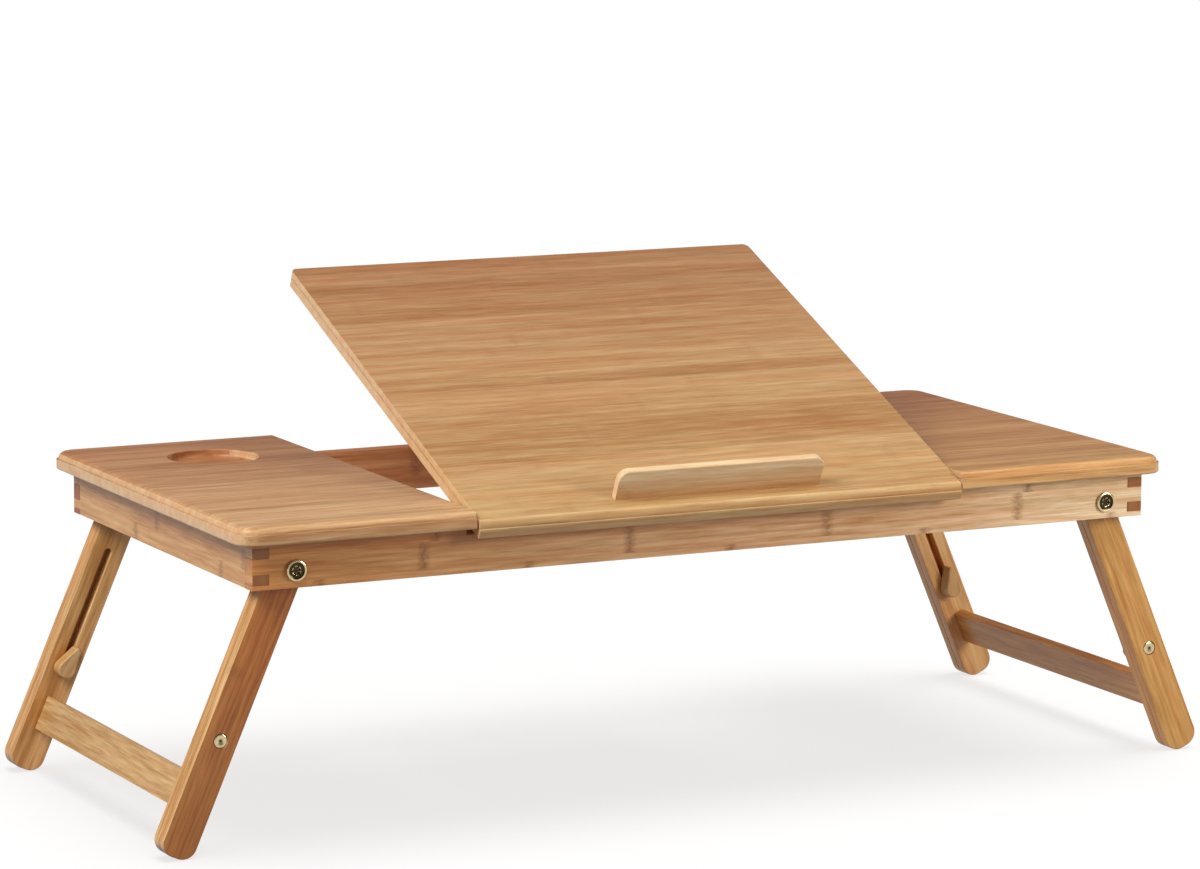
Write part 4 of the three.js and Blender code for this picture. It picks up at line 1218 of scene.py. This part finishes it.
@dataclass
class Panel:
    """The tilting panel, the ledge let into it, the prop's hinge blocks and the metal pins."""

    moulding: Moulding = Moulding()
    hinge: Triple = (0.0, -161.5, 218.178)
    tilt: float = 22.5
    half_width: float = 187.5
    front: float = -20.5
    back: float = 331.5
    corner: float = 5.0
    corner_steps: int = 10
    ledge_half: float = 80.0
    ledge_span: Pair = (-4.5, 1.5)
    ledge_foot: float = 3.55
    ledge_top: float = 28.25
    ledge_corner: float = 8.0
    ledge_ease: float = 1.0
    ledge_steps: tuple[int, int] = (16, 4)              # divisions of its corners and of its arris
    groove_room: Pair = (0.06, 0.1)                     # beside and under the ledge's foot
    prop_seat: float = 141.0
    prop_pin: float = -15.25
    prop_pin_radius: float = 2.0
    pin_bore: float = 2.3
    pin_bore_ease: float = 0.2
    block_span: Pair = (28.3, 38.3)
    block_base: float = 30.0
    block_nose: float = 5.0
    block_gap: float = 0.3
    block_ease: float = 0.6
    block_steps: int = 16
    pin_middle: float = 188.25
    pin_length: float = 24.0
    pin_radius: float = 2.5
    # The panel is darker towards the back, a painted shadow as of a laptop standing on it; the ledge is darker
    # towards its foot, painted shade.
    panel_tints_with_painted_shadow: tuple[str, str, str] = ("e2dbc7", "cbb5aa", PLAIN)
    ledge_tints_with_painted_shade: tuple[str, str, str] = ("dbc3a1", PLAIN, PLAIN)

    def build(self, shop: Workshop) -> None:
        """Makes the panel and what is fixed to it.

        Args:
            shop: What makes the pieces.
        """
        rise, run = math.sin(math.radians(self.tilt)), math.cos(math.radians(self.tilt))
        along, normal = (0.0, run, rise), (0.0, -rise, run)
        shop.add("tilting_panel", "moulded_board", self.board(),
                 Placing(self.hinge, (1, 0, 0), along, normal), Slot.PANEL,
                 looks=Looks(*self.panel_tints_with_painted_shadow, axis=1, cut_ends=0.0))
        shop.add("stop_ledge", "eased_board", self.ledge(), Placing(self.hinge, (1, 0, 0), normal, along),
                 Slot.PALE, looks=Looks(*self.ledge_tints_with_painted_shade, axis=1, cut_ends=0.0))
        middle, half = self.pin_middle, self.pin_length / 2
        for name, end in ENDS:
            placing = Placing(self.hinge, along, normal, (end, 0, 0))
            shop.add(f"{name}_hinge_block", "planed", self.block(), placing, Slot.INSIDE)
            shop.add(f"{name}_panel_pin", "turned", rod(self.pin_radius, (middle - half, middle + half)),
                     placing, Slot.METAL)
        reach = self.block_span[1]
        seat = Placing(self.hinge, along, normal, (1, 0, 0)).about(self.prop_seat, self.prop_pin, 0.0)
        shop.add("prop_pin", "turned", rod(self.prop_pin_radius, (-reach, reach)), seat, Slot.METAL)

    def board(self) -> Shell:
        """Panel board: moulding along the front, plain sides, round back corners, a groove for the ledge.

        Returns:
            The closed shell.
        """
        x, back, r = self.half_width - self.corner, self.back - self.corner, self.corner
        right = arc((x, back), r, 0, 90, self.corner_steps)
        left = arc((-x, back), r, 90, 180, self.corner_steps)
        base = np.vstack([[-self.half_width, self.front], [self.half_width, self.front], right, left])
        plain = np.vstack([[1, 0], [-1, 0], ((x, back) - right) / r, ((-x, back) - left) / r])
        moulded = np.zeros_like(base)
        moulded[:2] = (0, 1)
        top, (room, under) = self.moulding.thickness / 2, self.groove_room
        half, (near, far) = self.ledge_half + room, self.ledge_span
        groove = corner_hole((-half, half), (near - room, far + room),
                             [(0.0, self.ledge_foot - under), (0.0, top)], blind=True)
        return self.moulding.board(base, moulded, plain, -top, [groove])

    def ledge(self) -> Shell:
        """Ledge with rounded upper corners, its foot in the panel's groove.

        Returns:
            The closed shell.
        """
        half, r, top = self.ledge_half, self.ledge_corner, self.ledge_top
        corner, arris = self.ledge_steps
        loop = outline((-half, self.ledge_foot), (half, self.ledge_foot),
                       arc((half - r, top - r), r, 0, 90, corner),
                       arc((r - half, top - r), r, 90, 180, corner))
        return eased_prism(loop, self.ledge_span, self.ledge_ease, steps=arris)

    def block(self) -> Shell:
        """Block under the panel with a round nose about the prop's pin.

        Returns:
            The closed shell.
        """
        top, seat, half = -self.moulding.thickness / 2 - self.block_gap, self.prop_seat, self.block_base / 2
        loop = outline((seat - half, top), arc((seat, self.prop_pin), self.block_nose, 180, 360,
                                               self.block_steps), (seat + half, top))
        hole = round_hole((seat, self.prop_pin), bore(self.pin_bore, self.block_span, self.pin_bore_ease))
        return eased_prism(loop, self.block_span, self.block_ease, [hole])


@dataclass
class Prop:
    """The board that holds the panel up, and the dowel it stands on."""

    pin: Triple = (0.0, -25.397, 258.047)
    lean: float = 24.32
    length: float = 141.0
    half_width: float = 28.0
    thickness: float = 10.0
    ease: float = 0.6
    bores: Pair = (2.3, 3.3)                            # for the pin and for the foot
    foot_radius: float = 3.0
    foot_reach: float = 41.0
    end_steps: int = 16

    def build(self, shop: Workshop) -> None:
        """Makes the prop.

        Args:
            shop: What makes the pieces.
        """
        fall, run = math.sin(math.radians(self.lean)), math.cos(math.radians(self.lean))
        placing = Placing(self.pin, (0, run, -fall), (0, fall, run), (1, 0, 0))
        half, span, ends = self.thickness / 2, (-self.half_width, self.half_width), (0.0, self.length)
        loop = outline(*(arc((end, 0), half, start, start + 180, self.end_steps)
                         for end, start in zip(ends, (90, -90))))
        holes = [round_hole((end, 0), bore(radius, span)) for end, radius in zip(ends, self.bores)]
        shop.add("prop_board", "planed", eased_prism(loop, span, self.ease, holes), placing, Slot.INSIDE)
        shop.add("prop_foot_dowel", "turned", rod(self.foot_radius, (-self.foot_reach, self.foot_reach)),
                 placing.about(self.length, 0.0, 0.0), Slot.PALE, Grain.ALONG_W)


@dataclass
class Drawer:
    """The small drawer in the right end, and the two runners it slides on."""

    front: Pair = (335.0, 347.0)
    half: float = 107.5
    bottom: float = 185.428
    top: float = 206.128
    notch: float = 9.0
    notch_steps: int = 24
    side_top: float = 202.928
    sides: Pair = (207.0, 334.7)
    board: float = 5.0
    gap: float = 0.3
    back: Pair = (207.0, 212.0)
    floor: Pair = (212.3, 334.7)
    floor_height: Pair = (187.028, 190.028)
    floor_ease: float = 0.3
    runner: Pair = (203.3, 334.7)
    runner_bottom: float = 179.928
    runner_room: float = 0.5                            # drawer side to runner
    runner_width: float = 5.0
    runner_ledge: float = 7.5
    ease: float = 0.5

    def build(self, shop: Workshop) -> None:
        """Makes the drawer and its runners.

        Args:
            shop: What makes the pieces.
        """
        placing = Placing(u=(0, 1, 0), v=(0, 0, 1), w=(1, 0, 0))
        loop = outline((-self.half, self.bottom), (self.half, self.bottom), (self.half, self.top),
                       arc((0, self.top), self.notch, 0, -180, self.notch_steps), (-self.half, self.top))
        front = eased_prism(loop, self.front, self.ease)
        shop.add("drawer_front", "finger_notched", front, placing, Slot.RAIL)
        inside, height = self.half - self.board - self.gap, (self.bottom, self.side_top)
        back = eased_prism(rectangle((-inside, inside), height), self.back, self.ease)
        shop.add("drawer_back", "planed", back, placing, Slot.INSIDE)
        floor = eased_prism(rectangle((-inside, inside), self.floor_height), self.floor, self.floor_ease)
        shop.add("drawer_floor", "planed", floor, placing, Slot.INSIDE, Grain.ALONG_W)
        for name, side in SIDES:
            edges = sorted((side * (self.half - self.board), side * self.half))
            for part, word, loop, span in (
                    ("side", "planed", rectangle(edges, height), self.sides),
                    ("runner", "rebated", self.runner_outline(side), self.runner)):
                shop.add(f"{name}_drawer_{part}", word, eased_prism(loop, span, self.ease), placing,
                         Slot.INSIDE, Grain.ALONG_W)

    def runner_outline(self, side: int) -> Array:
        """Runner seen from its end: an upright guide with a ledge under the drawer's side.

        Args:
            side: -1 at the front and 1 at the back.

        Returns:
            The outline.
        """
        guide, ledge, top = self.half + self.runner_room, self.bottom - self.gap, self.side_top
        near, far, low = guide - self.runner_ledge, guide + self.runner_width, self.runner_bottom
        steps = [(near, low), (far, low), (far, top), (guide, top), (guide, ledge), (near, ledge)]
        return outline(np.array(steps) * [side, 1])


# Studio


def stand(right: Array, up: Array, back: Array, place: Sequence[float]) -> Matrix:
    """Where an object stands: a matrix whose columns are its axes and its place.

    Args:
        right: Its x axis.
        up: Its y axis.
        back: Its z axis.
        place: Its place, in millimetres.

    Returns:
        The matrix.
    """
    rows = np.eye(4)
    rows[:3] = np.column_stack([right, up, back, np.array(place) * MM])
    return Matrix(rows.tolist())


@dataclass(frozen=True)
class SoftBox:
    """A square soft light that faces a point."""

    name: str
    place: Triple                           # its middle, mm
    target: Triple                          # the point it faces, mm
    size: float                             # its side, mm
    watts: float

    def build(self) -> Thing:
        """Makes the lamp: it looks along its own -z, so its z axis points away from the target.

        Returns:
            The lamp, not yet in the scene.
        """
        data = bpy.data.lights.new(self.name, "AREA")
        data.shape, data.size, data.energy = "SQUARE", self.size * MM, self.watts
        lamp = bpy.data.objects.new(self.name, data)
        away = np.array(self.place) - np.array(self.target)
        away /= np.linalg.norm(away)
        side = np.cross((0, 0, 1), away)
        side /= np.linalg.norm(side)
        lamp.matrix_world = stand(side, np.cross(away, side), away, self.place)
        return lamp


@dataclass
class Studio:
    """Camera at the photograph's angle, a plain pale floor and soft light from the left.

    The low fill light is not mirrored in the wood, whose decks would turn white in views from behind: a
    second one beside it gives the metal its glints. A wide light from above lights the floor alone, for its
    pale shadow.
    """

    place: Triple = (-1589.19, -3145.15, 805.22)
    yaw: float = 26.7
    pitch: float = -9.15
    roll: float = 0.37
    focal_pixels: float = 4964.51
    image_width: float = 1200.0
    sensor: float = 36.0
    clip_end: float = 200.0                 # metres
    key: SoftBox = SoftBox("key", (-1900.0, -700.0, 1900.0), (0.0, 0.0, 180.0), 1200.0, 60.0)
    fill: SoftBox = SoftBox("fill", (800.0, -950.0, 520.0), (280.0, -150.0, 180.0), 450.0, 7.2)
    glint: SoftBox = SoftBox("glint", (810.0, -970.0, 530.0), (280.0, -150.0, 180.0), 450.0, 12.0)
    rim: SoftBox = SoftBox("rim", (1100.0, -350.0, 2300.0), (100.0, -100.0, 200.0), 700.0, 10.0)
    overhead: Triple = (42.0, 1.4, 8.0)     # its angle, its strength, and how far it leans
    around: float = 0.26                    # even light from all round
    floor_half: float = 30000.0
    floor_level: float = -0.3
    floor_colour: str = "a9a9a9"
    floor_roughness: float = 0.9
    floor_glow: float = 0.735

    def build(self, metal: Sequence[Thing]) -> None:
        """Makes the camera, the floor, the lights and the world.

        Args:
            metal: The pieces that get a light of their own.
        """
        self.camera()
        floor = self.floor()
        self.add_lamp(self.key.build(), [floor], "EXCLUDE")
        fill = self.fill.build()
        fill.visible_glossy = False
        self.add_lamp(fill, [floor], "EXCLUDE")
        self.add_lamp(self.glint.build(), metal, "INCLUDE")
        self.add_lamp(self.rim.build(), [floor], "EXCLUDE")
        angle, strength, lean = self.overhead
        data = bpy.data.lights.new("overhead", "SUN")
        data.angle, data.energy = math.radians(angle), strength
        lamp = bpy.data.objects.new("overhead", data)
        lamp.rotation_euler = (0, math.radians(lean), 0)
        self.add_lamp(lamp, [floor], "INCLUDE")
        world = bpy.context.scene.world = bpy.data.worlds.new("studio")
        world.use_nodes = True
        world.node_tree.nodes.clear()
        put = partial(add_node, world.node_tree)
        put("OutputWorld", put("Background", linear(PLAIN), self.around))
        bpy.context.scene.view_settings.view_transform = "Standard"

    def camera(self) -> None:
        """Turns yaw, pitch and roll into the camera's axes."""
        yaw, pitch, roll = (math.radians(a) for a in (self.yaw, self.pitch, self.roll))
        ahead = np.array([math.sin(yaw) * math.cos(pitch), math.cos(yaw) * math.cos(pitch), math.sin(pitch)])
        level = np.array([math.cos(yaw), -math.sin(yaw), 0.0])
        above = np.cross(level, ahead)
        data = bpy.data.cameras.new("photo_camera")
        data.sensor_width, data.clip_end = self.sensor, self.clip_end
        data.lens = self.focal_pixels * self.sensor / self.image_width
        camera = bpy.data.objects.new("photo_camera", data)
        camera.matrix_world = stand(math.cos(roll) * level + math.sin(roll) * above,
                                    math.cos(roll) * above - math.sin(roll) * level, -ahead, self.place)
        bpy.context.scene.collection.objects.link(camera)
        bpy.context.scene.camera = camera

    def add_lamp(self, lamp: Thing, linked: Sequence[Thing], state: str) -> None:
        """Puts a lamp in the scene that lights some objects alone or leaves them out.

        Args:
            lamp: The lamp.
            linked: The objects.
            state: INCLUDE for these alone, EXCLUDE for all but these.
        """
        lit = bpy.data.collections.new(f"lit_by_{lamp.name}")
        for thing in linked:
            lit.objects.link(thing)
        for entry in lit.collection_objects:
            entry.light_linking.link_state = state
        lamp.light_linking.receiver_collection = lit
        bpy.context.scene.collection.objects.link(lamp)

    def floor(self) -> Thing:
        """A wide pale floor just under the feet, kept out of the bounce light, which the world gives.

        Returns:
            The floor.
        """
        edges = (-self.floor_half, self.floor_half)
        corners = raised(rectangle(edges, edges)[None], np.array([self.floor_level]))[0]
        mesh = bpy.data.meshes.new("floor")
        mesh.from_pydata((corners * MM).tolist(), [], [[0, 1, 2, 3]])
        material, tree = new_material("studio_floor")
        add_node(tree, "OutputMaterial", add_node(tree, "BsdfPrincipled", inputs={
            "Base Color": linear(self.floor_colour), "Roughness": self.floor_roughness,
            "Specular IOR Level": 0.0, "Emission Color": linear(PLAIN),
            "Emission Strength": self.floor_glow}))
        mesh.materials.append(material)
        floor = bpy.data.objects.new("studio_floor", mesh)
        floor.visible_diffuse = False
        bpy.context.scene.collection.objects.link(floor)
        return floor


def main() -> None:
    """Builds every sub-assembly in order, then the studio."""
    logging.basicConfig(level=logging.INFO, format="%(message)s", stream=sys.stdout)
    shop = Workshop(frame)
    for assembly in (Decks(), FrameBoards(), Legs(), Panel(), Prop(), Drawer()):
        log.info("%s", type(assembly).__name__)
        assembly.build(shop)
    log.info("%d pieces for %d nodes", shop.made, len(frame["nodes"]))
    Studio().build(shop.metal)


if __name__ == "__main__":
    main()
